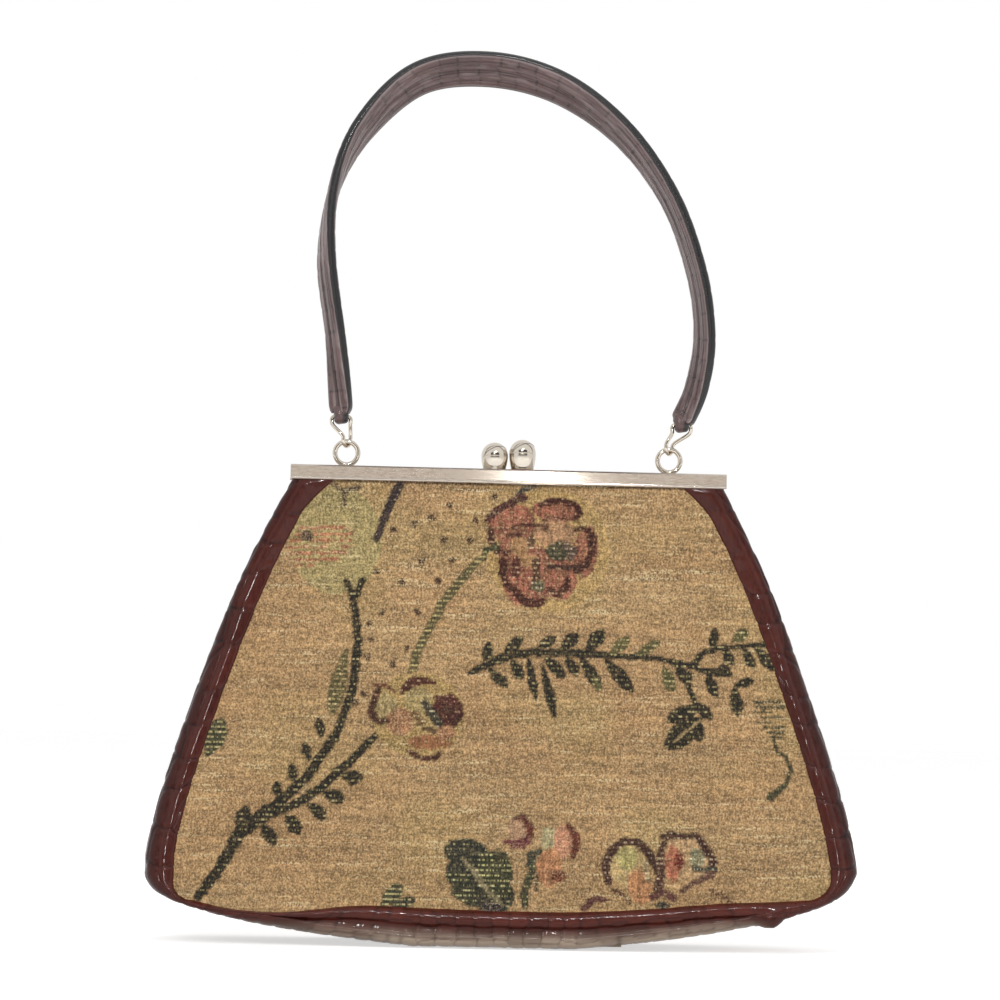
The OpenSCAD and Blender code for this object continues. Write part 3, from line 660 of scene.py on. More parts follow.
def foot_flowers(p):
    p.discs(((630, 862, 21, 25), 0xB49A6A, 0.2, 0xD4BC8E, 0.35, 1.0),
            ((627, 858, 10, 12), 0xACA066, 0.2, 0xCEC48C, 0.5, 0.6),
            ((640, 886, 12, 17, 10), 0xBA845A, 0.3, 0xCE9C70, 0.4, 1.0))
    p.strokes(
        ((609, 882, 605, 868, 608, 856, 616, 846, 627, 841, 639, 843, 648, 853, 654, 863, 656, 872),
         (8, 9, 9, 8, 8, 8, 9, 9, 6), 0x3E241D, 1.0, 0xC6A88C, 0.45),
        ((646, 862, 648, 880), (4, 5), 0x968260, 0.5, 0xDCC8A0, 0.8))
    p.discs(((686, 858, 22, 24), 0xB8966C, 0.2, 0xD6B68E, 0.35, 1.0),
            ((673, 864, 8, 18), 0xB47054, 0.4, 0xCE9676, 0.4, 1.0),
            ((679, 861, 5, 9), 0x702820, 1.0, 0x965040, 0.3),
            ((697, 859, 7, 11), 0x8C8868, 0.6, 0xCECCAA, 0.6))
    p.strokes(
        ((659, 890, 661, 872, 660, 856, 664, 843), (11, 8, 7, 6), 0x462B22, 1.0, 0xBEA088, 0.5),
        ((662, 838, 672, 834, 684, 836, 698, 836), (6, 8, 7, 7), 0x422A21, 1.0, 0xC4A888, 0.5),
        ((698, 838, 706, 850, 713, 860, 712, 870), (6, 9, 9, 7), 0x40241E, 1.0, 0xCEB49C, 0.45),
        ((694, 869, 716, 869), (5, 6), 0x3E3E36, 1.0, 0xCEC8AA, 0.5),
        ((712, 874, 698, 881, 682, 891), (7, 6, 4), 0x604238, 0.9, 0xB49678, 0.5),
        ((652, 897, 662, 892, 674, 899), (6, 8, 6), 0x603834, 0.9, 0xB4967C, 0.4),
        ((584, 909, 594, 899, 606, 899), (7, 8, 5), 0x562E2E, 0.9, 0xAA826E, 0.4),
        ((613, 890, 623, 894, 630, 903), (4, 5, 4), 0x623E2C, 0.8))
    p.discs(((663, 906, 7, 5), 0x363430, 0.9))
    p.strokes(((710, 891, 720, 894, 730, 901), (3, 5, 4), 0x603C28, 0.8),
              ((718, 870.5, 752, 870.5), 1.5, 0x705434, 0.3))


def buds(p):
    p.discs(((520, 828, 12, 13), 0xB28C6C, 0.2, 0xCEB090, 0.3, 1.0))
    p.strokes(
        ((514, 817, 523, 818, 530, 828, 530, 838), (4, 6, 8, 7), 0x602E24, 1.0, 0xA46854, 0.35),
        ((505, 842, 516, 843, 527, 841), (4, 7, 8), 0x662E34, 1.0, 0xAA6E64, 0.3),
        ((512, 847, 524, 847), 5, 0x642C32, 1.0))
    p.discs(((548, 840, 7, 13), 0xA09670, 0.4, 0xC4BC96, 0.5, 1.0),
            ((563, 842, 9, 16), 0xBE886A, 0.4, 0xD2A07E, 0.4, 1.0),
            ((549, 868, 13, 19), 0xBC845C, 0.4, 0xD29E74, 0.4, 1.0))
    p.stroke((569, 827, 575, 835, 577, 845, 573, 855), (6, 9, 8, 6), 0x5C2A20, 1.0, 0xA86854, 0.35)
    p.discs(((559, 876, 8, 5.5), 0x703222, 1.0))
    p.strokes(
        ((540, 850, 532, 856, 531, 866), (6, 10, 8), 0x3A3A2E, 1.0, 0x969670, 0.5),
        ((533, 868, 528, 880, 524, 894, 525, 905), (7, 8, 9, 7), 0x3C3C2A, 1.0, 0xA09868, 0.6),
        ((537, 874, 536, 890), 3, 0x4E3E2E, 0.8))


def foot_leaf(p):
    body = p.blob((457, 851, 13, 11), (470, 858, 21, 18, -30), (468, 876, 24, 18, -25), (484, 884, 26, 18, -35),
                  (497, 872, 15, 21), (472, 896, 20, 10, -15), (500, 896, 15, 16), (492, 906, 14, 8))
    p.paint(body, 0x282B24, 1.0, 0xA09868, 0.42)
    p.paint(np.minimum(body, p.oval(498, 872, 22, 26)), 0x323523, 1.0, 0xC4BE82, 0.66)
    p.paint(np.minimum(body, p.oval(456, 894, 20, 22)), 0x303326, 1.0, 0xBEB880, 0.62)
    p.stroke((462, 858, 474, 872, 484, 886, 500, 904), (3, 5, 5, 5), 0x8A7E5E, 0.7, 0xCEC496, 0.5)
    p.discs(((491, 908, 10, 6), 0x28242C, 1.0))
    p.leaf(380, 908, 402, 884, 14, 0x3A3C2C, 1.0, 0xC4BA80, 1.0)
    p.leaf(388, 908, 416, 899, 10, 0x32322A, 1.0, 0xAAA06E, 0.7)


def leafy_stem(p):
    p.leaf(347, 648, 331, 716, 15, OLIVE, 0.8, 0xB09E6A, 0.9)
    p.strokes(
        ((352, 592, 356, 614, 358, 642, 353, 688, 336, 735, 306, 778, 268, 812), (7, 8, 9, 9, 9, 10, 11), *INK),
        ((268, 812, 240, 832, 229, 852, 216, 873, 198, 897), (15, 14, 12, 11, 9), *INK),
        ((346, 580, 353, 597), (6, 7), *INK),
        ((363, 580, 355, 598), (6, 7), *INK))
    p.leaves(((322, 738, 318, 718, 9), (309, 762, 304, 742, 9), (295, 784, 291, 764, 9), (279, 800, 276, 781, 9),
              (238, 832, 247, 806, 15)), INK)
    p.stroke((390, 722, 370, 741, 352, 760, 334, 776, 318, 790, 297, 803, 272, 814), (6, 8, 8, 8, 9, 9, 9), *INK)
    p.leaves(((338, 776, 364, 777, 11), (346, 776, 358, 784, 8), (322, 792, 345, 800, 13), (308, 803, 326, 819, 13),
              (284, 813, 301, 834, 13), (262, 823, 276, 846, 12), (330, 775, 343, 768, 8)), INK)


def spray(p):
    p.strokes(
        ((470, 672, 484, 667, 503, 657, 533, 652, 579, 653, 618, 656, 655, 658, 680, 664, 698, 667),
         (5, 8, 9, 8, 8, 7, 6, 7, 7), *INK),
        ((694, 664, 702, 654, 718, 648, 740, 646, 764, 645), (6, 6, 6, 5, 5), *INK),
        ((690, 667, 708, 671, 728, 674), (6, 6, 8), *INK))
    p.leaves((
        # Above the stem
        (484, 664, 490, 642, 9), (502, 657, 523, 636, 11), (536, 650, 556, 636, 10), (560, 651, 578, 633, 12),
        (585, 652, 604, 630, 13), (712, 650, 716, 628, 9), (722, 648, 734, 666, 10), (744, 648, 754, 668, 10),
        (756, 648, 775, 670, 13),
        # Below the stem
        (488, 668, 508, 688, 11), (510, 658, 523, 680, 11), (528, 656, 536, 700, 9), (542, 662, 555, 718, 10),
        (544, 656, 565, 678, 12), (566, 656, 578, 676, 11), (580, 656, 600, 688, 12), (604, 658, 633, 692, 13),
        (676, 664, 690, 684, 13), (706, 671, 717, 698, 10), (712, 673, 731, 668, 11), (734, 684, 738, 717, 12),
        (732, 688, 754, 680, 9)), INK)
    p.leaves(((609, 655, 629, 637, 11), (636, 655, 660, 642, 9), (664, 666, 673, 692, 12), (733, 642, 748, 630, 12),
              (594, 676, 600, 692, 8)), THIN)
    p.stroke((684, 672, 690, 692, 697, 705, 690, 718), 6, *INK)
    p.leaves(((698, 704, 667, 722, 14), (692, 700, 712, 720, 11), (703, 716, 666, 748, 22),
              (694, 716, 700, 742, 14)), INK)
    p.stroke((700, 720, 674, 742), 2.5, 0x9E865C, 0.4)
    p.dashes(((754, 780), (757, 784), (753, 772), (760, 786), (755, 770), (764, 788), (768, 783), (770, 782)),
             702, 5.1, 0, 0x423E28, 1.0)
    p.stroke((774, 738, 777, 752, 786, 757, 791, 770, 785, 786, 771, 797), (4, 4, 4, 5, 5, 8), 0x3C3A28, 1.0,
             OLIVE_RIB, 0.5)


def top_left(p):
    p.discs(((336, 540, 46, 54), 0xA49260, 0.1))
    p.dashes(((300, 350), (296, 352), (292, 350), (288, 352), (290, 346), (296, 338), (296, 312)),
             528, 6.3, 0.5, 0xAC6A4E, 0.5)
    p.discs(((307, 536, 6, 6), 0x4E3E32, 0.9))
    p.strokes(((330, 482, 344, 491, 359, 487), 5, 0x4A3C2E, 0.9),
              ((345, 490, 345, 503), 5, 0x4A3C2E, 0.9),
              ((401, 480, 390, 505, 376, 540), (9, 9, 7), PLUM, 1.0, 0x786856, 0.4),
              ((536, 480, 520, 498), 12, 0x464440, 0.9))
    for dot in ((432, 517), (475, 521), (450, 506), (394, 529), (444, 540), (470, 540), (422, 561), (377, 571),
                (401, 582), (438, 581), (382, 613), (418, 612), (369, 625), (407, 648), (368, 657), (393, 663),
                (364, 694), (354, 702), (495, 497), (452, 560), (414, 524), (371, 640)):
        p.paint(p.oval(*dot, 3.7, 3.5), 0x482E1E, 1.0)
    p.stroke((497, 549, 477, 561, 459, 583, 443, 602, 429, 630, 417, 652, 411, 678), (8, 8, 9, 9, 9, 9, 8),
             0x544C32, 0.9, 0xB6A66E, 0.95)
    p.leaf(207, 757, 222, 718, 20, 0x3C3E2C, 0.9, OLIVE_RIB, 0.9)


def draw_pattern(x, z):
    """Colours of the cloth's points."""
    patch, streak = value_noise(x / 34, z / 20, 21), value_noise(x / 16, z / 2.1, 22)
    ground = lin(GROUND) * (0.88 + 0.24 * patch + 0.26 * (streak - 0.5))[..., None]
    warm = 0.4 * value_noise(x / 26, z / 16, 23)
    ground = lerp(ground, lin(0xB28458), warm[..., None])
    green = 0.3 * smooth((value_noise(x / 30, z / 24, 24) - 0.45) / 0.4)
    ground = lerp(ground, lin(0xA8925A), green[..., None])
    p = Pattern(x, z, ground)
    for motif in (top_left, big_flower, leafy_stem, small_flower, spray, foot_leaf, buds, foot_flowers):
        motif(p)
    # The shaded line under the frame's bar
    shade = 0.7 * smooth((z - SHADE_Z + 0.8 * (value_noise(x / 5, 0 * x, 25) - 0.5)) / 0.7)
    p.colour = lerp(p.colour, lin(0x382218), shade[..., None])
    p.thread[..., 3] *= 1 - shade
    return p


def tapestry(name, front):
    """A panel of cloth, which runs on a little under the leather on each side."""
    cols, rows = (384, 256) if front else (300, 200)
    share = np.linspace(-1, 1, cols + 1) * np.ones((rows + 1, 1))
    z = CLOTH_LOW + (PANEL_TOP - CLOTH_LOW) * np.linspace(0, 1, rows + 1)[:, None] + 0 * share
    x = share * (half_at(np.maximum(z, WIDEST)) - strip_at(z) + CLOTH_TUCK)
    radius = np.where(x < 0, CORNERS[-1][3], CORNERS[1][3])
    corner_x = HALF_W - STRIP_W - radius
    foot = band_z(np.clip(x, -corner_x, corner_x))
    reach = np.hypot(np.maximum(np.abs(x) - corner_x, 0), np.maximum(foot + radius - z, 0))
    kept = np.where(np.abs(x) > corner_x, reach < radius + CLOTH_TUCK, z > foot - CLOTH_TUCK)
    on = kept[1:, 1:] & kept[:-1, 1:] & kept[1:, :-1] & kept[:-1, :-1]
    p = draw_pattern(x if front else -x, z)
    wander = 0.7 * (value_noise(x / 42, z / 55, 31) - 0.5) + 0.35 * (value_noise(x / 15, z / 70, 32) - 0.5)
    weft = 0.16 * (value_noise(x / 5.5, z / 0.85, 33) - 0.5) + 0.12 * np.cos(2 * np.pi * z / 1.4)
    y = depth_at(z) + swell(share, z) + wander * smooth((1 - np.abs(share)) * 8) + weft + 0.25 * p.figure
    pts = np.stack([x, -y if front else y, z], -1)
    obj = mesh_from(name, pts, grid_faces(rows + 1, cols + 1, on, flip=not front), TAPESTRY)
    thin = p.figure * (1 - 0.75 * smooth((p.figure - 0.8) / 0.15))
    set_colour(obj, "cloth", *np.moveaxis(p.colour, -1, 0), thin)
    set_colour(obj, "thread", *np.moveaxis(p.thread, -1, 0))
    drop_loose(obj)
    return obj


# The leather ribbon: strips, gussets and base
FACE_N, ARC_N, FLANK_N = 22, 12, 44


def ribbon(name, places, sides, seed):
    """Leather over the outline places, with embossed scales, turned edges and a fold inwards."""
    p, n, e = (np.concatenate(v) for v in zip(*[stations(np.array([u]), s) for u, s in zip(places, sides)]))
    x0, z0, nx, nz, ex, ez = (v[:, i:i + 1] for v in (p, n, e) for i in (0, 1))
    side = np.asarray(sides, float)[:, None]
    d, f = depth_at(z0), fold_at(z0)
    gap = np.linalg.norm(p - e, axis=1, keepdims=True)
    r = np.minimum(TAB_R + (EDGE_R - TAB_R) * smooth((GUSSET_TOP - z0) / 40), 0.45 * gap)
    face = gap - r
    # k goes from 0 on the sides to 1 along the foot, which has a bead and smaller scales
    k = smooth((np.asarray(places)[:, None] - 1.2) / 0.35)
    # Face: from the turned edge to the start of the rounding
    flat = np.linspace(0, 1, FACE_N, endpoint=False)
    px = ex + (x0 - r * nx - ex) * flat
    pz = ez + (z0 - r * nz - ez) * flat
    w_face = face * flat
    rise = 1.1 * smooth(w_face / 2.0) - 0.5
    rise = rise + (1 - k) * 1.1 * np.sin(np.pi * flat ** 2) - 0.3 * smooth(w_face / np.maximum(face, 1))
    roll = np.sin(np.pi * np.clip(w_face / 7.0, 0, 1)) ** 0.8
    rise = rise + k * (1.7 * roll - 1.4 * smooth((w_face - 5.5) / 3.0))
    py = depth_at(pz) + rise * smooth((STRIP_TOP - pz) / 5)
    d = d - 1.4 * k * smooth((face - 5.5) / 3.0)
    # Rounding
    a = np.linspace(0, np.pi / 2, ARC_N, endpoint=False)
    off = -r * (1 - np.sin(a))
    ax = x0 + off * nx
    az = z0 + off * nz + BASE_LIFT * k * smooth(2 * a / np.pi)
    ay = d - r * (1 - np.cos(a)) + 0.5 * np.cos(a)
    # Flank to the middle of the fold
    b = np.linspace(0, 1, FLANK_N)
    sag = 0.5 * np.sin(np.pi * b)
    fx = x0 - f * b + sag * nx
    fz = z0 + BASE_LIFT * k + sag * nz
    fy = (d - r) * (1 - b)
    # Both halves in one grid; w is the way across the leather and s the way along it
    x, y, z = (np.concatenate(v, 1) for v in ((px, ax, fx), (py, ay, fy), (pz, az, fz)))
    w = np.concatenate([w_face, face + r * a, face + r * np.pi / 2 + np.hypot(f, d - r) * b], 1)
    front, back = (np.stack([side * x, way * y, z], -1) for way in (-1, 1))
    pts = np.concatenate([front, back[:, -2::-1]], 1)
    w_all = np.concatenate([w, 2 * w[:, -1:] - w[:, -2::-1]], 1)
    rows, cols = w_all.shape
    steps = np.linalg.norm(np.diff(np.concatenate([side * x0, z0], 1), axis=0), axis=1)
    s = np.broadcast_to(np.concatenate([[0], np.cumsum(steps)])[:, None], w_all.shape)
    normal = grid_normals(pts)
    if np.median(np.sign(normal[:, FACE_N // 2, 1])) > 0:
        normal = -normal
    # Scales
    warp = 0.5 * (value_noise(s / 15, w_all / 15, seed + 50) - 0.5)
    wide, tone = scales(s / WIDE_CELL[0] + 0.6 * warp, w_all / WIDE_CELL[1] + warp + 0.1, seed, 0.5)
    small, tone_b = scales(s / SMALL_CELL[0] + warp, w_all / SMALL_CELL[1] + 0.4 * warp, seed + 3, 0.5)
    crease = lerp(1 - smooth(wide / 0.07), 1 - smooth(small / 0.14), k)
    dome = lerp(smooth(wide / 0.16), smooth(small / 0.4), k)
    tone = lerp(0.6 * tone + 0.4 * value_noise(s / 5, w_all / 3, seed + 60), tone_b, k)
    wrinkle = value_noise(s / 3.2, w_all / 3.6, seed + 70) - 0.5
    edge = np.minimum(w_all, w_all[:, -1:] - w_all)
    hold = smooth(edge / 1.6)
    calm = 1 - 0.6 * k * smooth((7.5 - edge) / 3)
    pts = pts + normal * (hold * calm * (0.34 * dome + 0.22 * wrinkle))[..., None]
    # A fold of spare leather at the front right corner
    tuck = k * np.exp(-((side * x - SPARE_X) / 4.5) ** 2 - ((w - face - 0.8 * r) / 3.0) ** 2)
    tuck = np.pad(tuck, ((0, 0), (0, cols - tuck.shape[1])))
    pts = pts + normal * (3.2 * tuck)[..., None]
    # Above the gusset only the strips and their roundings stay
    columns = np.arange(cols - 1)
    tab = (columns < FACE_N + ARC_N - 1) | (columns >= cols - FACE_N - ARC_N)
    low = z0 <= GUSSET_TOP + 0.1
    obj = mesh_from(name, pts, grid_faces(rows, cols, tab | low[1:] & low[:-1]), LEATHER)
    # Painted sheen under the base, a lighter bead and painted shade on the strips' outer turns
    # Painted sheen: the underside is paled as if it reflected the bright floor
    underside_sheen = 0.42 + 0.6 * value_noise(s / 18, w_all / 1.2, seed + 80)
    underside_sheen = k * smooth((edge - 7.0) / 7.0) * underside_sheen * (0.7 + 0.5 * smooth((edge - 9) / 6))
    underside_sheen = underside_sheen * (1 - 0.45 * crease) * (0.95 + 0.55 * tone_b) * (1 - 0.5 * smooth((-44 - pts[..., 0]) / 16))
    tone = 0.17 + 0.49 * tone + 0.34 * k * smooth((8.5 - edge) / 3)
    # Painted shade: the strips darken where they turn round to the sides, laid into the crease channel
    bend_at = edge - face
    turned = (1 - k) * smooth((bend_at + 1) / 3.5) * (1 - smooth((bend_at - 6) / 12))
    set_colour(obj, "hide", np.clip(0.6 * crease * hold + 0.45 * turned, 0, 1), tone, 0, underside_sheen)
    drop_loose(obj)
    return obj


def gusset(name, side, seed):
    """One side of the bag: the strips that edge both panels and the folded leather between them."""
    u = np.concatenate([[-0.02, -0.01], np.linspace(0, 1, 190), 1 + np.linspace(0, 0.5, 70)[1:]])
    return ribbon(name, u, np.full(len(u), side), seed)


def base(name, seed):
    """The base from corner to corner, carried up as a band along the foot of both panels."""
    half = np.concatenate([1.499 + np.linspace(0, 0.501, 64), 2 + np.linspace(0, 1, 60)[1:]])
    u = np.concatenate([half, half[-2::-1]])
    return ribbon(name, u, np.where(np.arange(len(u)) < len(half), 1, -1), seed)


# The lining
def lining():
    """A thin pouch that follows the bag's inside, open at the top."""
    levels = np.concatenate([4.0 + 31.0 * np.linspace(0, 1, 14) ** 2, np.linspace(35, GUSSET_TOP, 40)[1:],
                             np.linspace(GUSSET_TOP, LINING_TOP, 20)[1:]])
    cols, flank = 60, 12
    k = np.linspace(1, -1, cols + 1)
    b = np.linspace(0, 1, flank + 2)[1:-1]
    fold = (1 - np.abs(2 * b - 1)) ** 0.8
    rows = []
    for z in levels:
        low = max(0.0, z - 4.5) if z < WIDEST else z
        w = min(float(half_at(low)) - 5.8, 80.5 + max(0.0, GUSSET_TOP - z))
        d = float(depth_at(z)) - 2.3 - 5.5 * (1 - float(smooth((z - 4) / 15)))
        f = max(-1.2, w - (float(half_at(z)) - float(fold_at(z)) - 5.6))
        ripple = 0.5 * (value_noise(k * 9, 0 * k + z / 26, 41) - 0.3) * (1 - k ** 2)
        for way in (1, -1):
            rows.append(np.stack([way * w * k, way * (ripple - d), 0 * k + z], -1))
            rows.append(np.stack([way * (f * fold - w), way * d * (2 * b - 1), 0 * b + z], -1))
    ni, half = len(levels), cols + 1 + flank
    wall = np.arange(2 * half) % half < cols
    faces = grid_faces(ni, 2 * half, wall | (levels[1:] <= GUSSET_TOP + 0.1)[:, None], wrap_j=True)
    faces += [[j + 1, j, half + cols - j, half + cols - j - 1] for j in range(cols)]
    return mesh_from("bag_lining", np.concatenate(rows), faces, SATIN)


# Metal
def handle_ring(name, side):
    """A ring of round wire and the small collar at its foot."""
    a = circle(96)
    path = np.stack([side * RING_X + RING_R * np.sin(a), 0 * a + RING_Y, RING_Z - RING_R * np.cos(a)], -1)
    ring = tube(name, path, RING_WIRE / 2, 20, POLISHED)
    profile = [(1.12, 194.9), (1.12, 196.02), (2.0, 196.04), (2.1, 196.3), (1.7, 196.7), (1.0, 196.95)]
    return ring, lathe(name + "_foot", side * RING_X, RING_Y, profile, 32, True)


def chain_link(name, side, lean):
    """A link of wire, round at the ring, square at the strap and twisted in between."""
    corner = 0.85 * LINK_WIRE
    a = np.radians(np.arange(0, -181, -9))
    bend = np.stack([LINK_BEND * np.cos(a), LINK_BEND * (1 + np.sin(a))], -1)
    k = np.linspace(0, 1, 16)[1:-1]
    rise = LINK_C - corner - LINK_BEND
    leg = np.stack([-(LINK_BEND + (LINK_HALF - LINK_BEND) * smooth(k)), LINK_BEND + k * rise], -1)
    c = np.radians(np.arange(180, 89, -15))
    top = np.stack([-LINK_HALF + corner * (1 + np.cos(c)), LINK_C - corner * (1 - np.sin(c))], -1)
    mirror = [-1, 1]
    path = np.concatenate([bend, leg, top, [[0, LINK_C]], top[::-1] * mirror, leg[::-1] * mirror])
    up = path[:, 1] - LINK_HOOK
    turn = np.radians(55) * (1 - smooth(up / (LINK_C - corner - LINK_HOOK)))
    shift = side * lean * smooth(up / (LINK_C - EYE_D / 2 - LINK_HOOK))
    pts = np.stack([side * RING_X + path[:, 0] * np.cos(turn) + shift, RING_Y + path[:, 0] * np.sin(turn),
                    LINK_LOW + path[:, 1]], -1)
    return tube(name, pts, LINK_WIRE / 2, 18, POLISHED)


def ball_of(node):
    """Centre and radius of a clasp ball, in millimetres."""
    lo, hi = (np.array(v) * 1000 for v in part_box(node))
    radius = (hi[0] - lo[0]) / 2
    return np.append((lo[:2] + hi[:2]) / 2, hi[2] - radius), radius


def ball_seam(name, node):
    """The join of the two half shells of a clasp ball, a thin dark ring painted as the shade of the groove between
    them.
    """
    middle, radius = ball_of(node)
    axis = np.array([0.41, -0.57, -0.71])
    axis /= np.linalg.norm(axis)
    one = np.cross(axis, [0, 0, 1.0])
    one /= np.linalg.norm(one)
    two = np.cross(axis, one)
    g = circle(72)[:, None]
    return tube(name, middle + (radius - 0.06) * (np.cos(g) * one + np.sin(g) * two), 0.16, 8, GROOVE_SHADE)


def ball_skirt(name, node):
    """The lower shell of a clasp ball, which runs straight down to the bar."""
    (cx, cy, middle), radius = ball_of(node)
    top, foot = middle + 0.1, BAR_TOP + 0.15
    profile = [(radius + 0.06 - 0.9 * t ** 2, top + (foot - top) * t) for t in np.linspace(0, 1, 12)]
    return lathe(name, cx, cy, [(radius - 1.0, top)] + profile + [(2.6, foot)], 64, False)


# The strap: its middle line in X and Z, and its turn about that line in degrees
STRAP_HALF, STRAP_RISE, STRAP_FOOT = 78, 144, 217.9
LINE = [(x * STRAP_HALF, EYE_Z + z * STRAP_RISE) for x, z in (
    (-0.93, 0.22), (-0.99, 0.46), (-0.955, 0.66), (-0.805, 0.835), (-0.52, 0.982), (-0.15, 1.015),
    (0.23, 0.968), (0.575, 0.84), (0.835, 0.655), (0.985, 0.445), (1.035, 0.262), (1.0, 0.11))]
LINE = [(EYE_LEFT, STRAP_FOOT), *LINE, (EYE_RIGHT, STRAP_FOOT)]
TURNS = [[v] for v in (62, 27, 17, -3, -30, -48, -54, -45, -28, -18, -17, -20, -34, -62)]
ROUND = 0.62    # power that squares the strap's section


def along(values, s):
    """Smooth curve through rows of values, at shares s of its way."""
    v = np.asarray(values, float)
    n = len(v) - 1
    k = np.minimum(n - 1, np.floor(s * n)).astype(int)
    t = (s * n - k)[:, None]
    a, b, c, d = v[np.maximum(k - 1, 0)], v[k], v[k + 1], v[np.minimum(k + 2, n)]
    return 0.5 * (2 * b + (c - a) * t + (2 * a - 5 * b + 4 * c - d) * t ** 2 + (3 * b - a - 3 * c + d) * t ** 3)


def strap(name):
    """The padded strap, with stitched lines, scales and dark edges."""
    n = 440
    s = np.linspace(0, 1, n)
    c = along(LINE, s)
    t = along(LINE, np.minimum(1, s + 0.002)) - along(LINE, np.maximum(0, s - 0.002))
    t[0], t[-1] = (0, 1), (0, -1)
    t /= np.linalg.norm(t, axis=1, keepdims=True)
    a = np.radians(along(TURNS, s)[:, 0])
    across = np.stack([-np.sin(a) * t[:, 1], np.cos(a), np.sin(a) * t[:, 0]], -1)
    face = np.stack([-np.cos(a) * t[:, 1], -np.sin(a), np.cos(a) * t[:, 0]], -1)
    length = np.concatenate([[0], np.cumsum(np.linalg.norm(np.diff(c, axis=0), axis=1))])
    near = np.minimum(s, 1 - s)
    end = np.clip(1 - near / 0.02, 0, 1)
    thick = 4.8 + 0.6 * smooth(end) - 0.8 * end ** 6
    width = (10.4 + 5.8 * smooth(near / 0.16)) * np.sqrt(np.maximum(1 - 0.55 * end ** 2.4, 0.05))
    # Section: two broad faces, u across and v through the strap, and two narrow rims
    flat = np.linspace(0.95, -0.95, 43)
    top = np.arccos(np.sign(flat) * np.abs(flat) ** (1 / ROUND))
    rim = np.linspace(top[-1], 2 * np.pi - top[-1], 11)[1:-1]
    g = np.concatenate([top, rim, top + np.pi, rim + np.pi])
    u, v = (np.sign(q) * np.abs(q) ** ROUND for q in (np.cos(g), np.sin(g)))
    w_mm = width[:, None] / 2 * u
    l_mm = np.broadcast_to(length[:, None], w_mm.shape)
    is_face, share = (q + 0 * w_mm for q in (smooth((np.abs(v) - 0.5) / 0.2), np.abs(u)))
    # Stitched lines and scales
    sway = 0.25 * (value_noise(l_mm / 14, 0 * l_mm, 60) - 0.5)
    pair = np.exp(-((np.abs(w_mm + sway) - 0.55) / 0.28) ** 2)
    row = np.exp(-((share - 0.55 + 0.04 * sway) / 0.035) ** 2)
    hem = np.exp(-((share - 0.86) / 0.03) ** 2)
    wobble = 0.3 * (value_noise(l_mm / 9, w_mm / 9 + 40, 61) - 0.5)
    gap_c, tone = scales(l_mm / 8.5 + wobble, w_mm / 5.2 + np.where(v > 0, 0.0, 7.5), 62, 0.4)
    crease = 1 - smooth(gap_c / 0.1)
    streak = value_noise(l_mm / 26, w_mm / 0.7 + 90, 63)
    lift = is_face * (0.14 * smooth(gap_c / 0.3) - 0.42 * pair - 0.24 * row - 0.25 * hem + 0.12 * (streak - 0.5))
    centre = np.stack([c[:, 0], np.full(n, RING_Y), c[:, 1]], -1)
    out = thick[:, None] / 2 * v + np.sign(v) * lift
    pts = centre[:, None] + across[:, None] * w_mm[..., None] + face[:, None] * out[..., None]
    obj = mesh_from(name, pts, capped_faces(n, len(g)), STRAP)
    # Dark edges, a painted highlight line along each, and painted sheen in streaks and flecks on the faces
    dark = smooth((share - 0.87) / 0.05) * (1 - 0.3 * end[:, None])
    pale = 0.7 * np.exp(-((share - 0.85) / 0.03) ** 2) + 0.3 * np.exp(-((share - 0.3) / 0.08) ** 2) * streak
    patch = value_noise(l_mm / 24, w_mm / 5 + 20, 64)
    fleck = value_noise(l_mm / 6, w_mm / 0.8 + 50, 65)
    pale = pale + 0.3 * is_face * (1 - dark) * smooth((fleck + 0.7 * patch - 0.9) / 0.4)
    line = np.clip(0.75 * crease + 0.8 * pair + 0.5 * row, 0, 1) * is_face
    tone = np.clip(0.3 * tone + 0.4 * streak + 0.5 * (patch - 0.25), 0, 1)
    set_colour(obj, "hide", line, tone, dark, pale)
    return obj


def strap_loop(name, x):
    """The folded end of the strap round the link's top."""
    ring, rows, half, hole = 40, 17, 5.8 / 2, EYE_HOLE / 2
    g = circle(ring)
    q = 2 * np.arange(rows)[:, None] / (rows - 1) - 1
    r = (3.2 + 0.35 * np.exp(-((q + 0.4) / 0.5) ** 2)) * np.sqrt(np.maximum(1 - 0.55 * q ** 4, 0.1))
    pts = np.stack([x + q * half + 0 * g, RING_Y + r * np.cos(g), EYE_Z + 0.2 + r * np.sin(g)], -1)
    flare = smooth((pts[..., 2] - EYE_Z) / 3.6)
    pts[..., 2] += 1.4 * flare
    pts[..., 0] = x + (pts[..., 0] - x) * (1 + 0.3 * flare)
    bore = [np.stack([0 * g + x + end, RING_Y + hole * np.cos(g), EYE_Z + hole * np.sin(g)], -1)
            for end in (half, -half)]
    pts = np.concatenate([pts, bore])
    obj = mesh_from(name, pts, grid_faces(rows + 2, ring, wrap_i=True, wrap_j=True), STRAP)
    tone = 0.3 + 0.2 * value_noise(pts[..., 0], pts[..., 2], 77)
    # Painted shade: the loop darkens towards its right end as a hollow; the bore and both end rows are dark too
    dark = np.array([0.8] + 8 * [0.0] + [0.2, 0.5, 0.8, 0.9, 0.95, 0.95, 0.95, 0.8, 1.0, 1.0])[:, None]
    set_colour(obj, "hide", 0, tone, dark, 0)
    return obj


front = tapestry("front_tapestry", True)
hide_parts("front_panel")
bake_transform(front)

back = tapestry("back_tapestry", False)
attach(back, "bag")
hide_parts("back_panel")

for label, side, seed in (("left", -1, 11), ("right", 1, 12)):
    piece = gusset("gusset_leather_" + label, side, seed)
    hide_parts("gusset_" + label)
    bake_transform(piece)

piece = base("base_leather", 13)
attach(piece, "bag")
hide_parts("base_panel")

pouch = lining()
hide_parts("lining")
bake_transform(pouch)

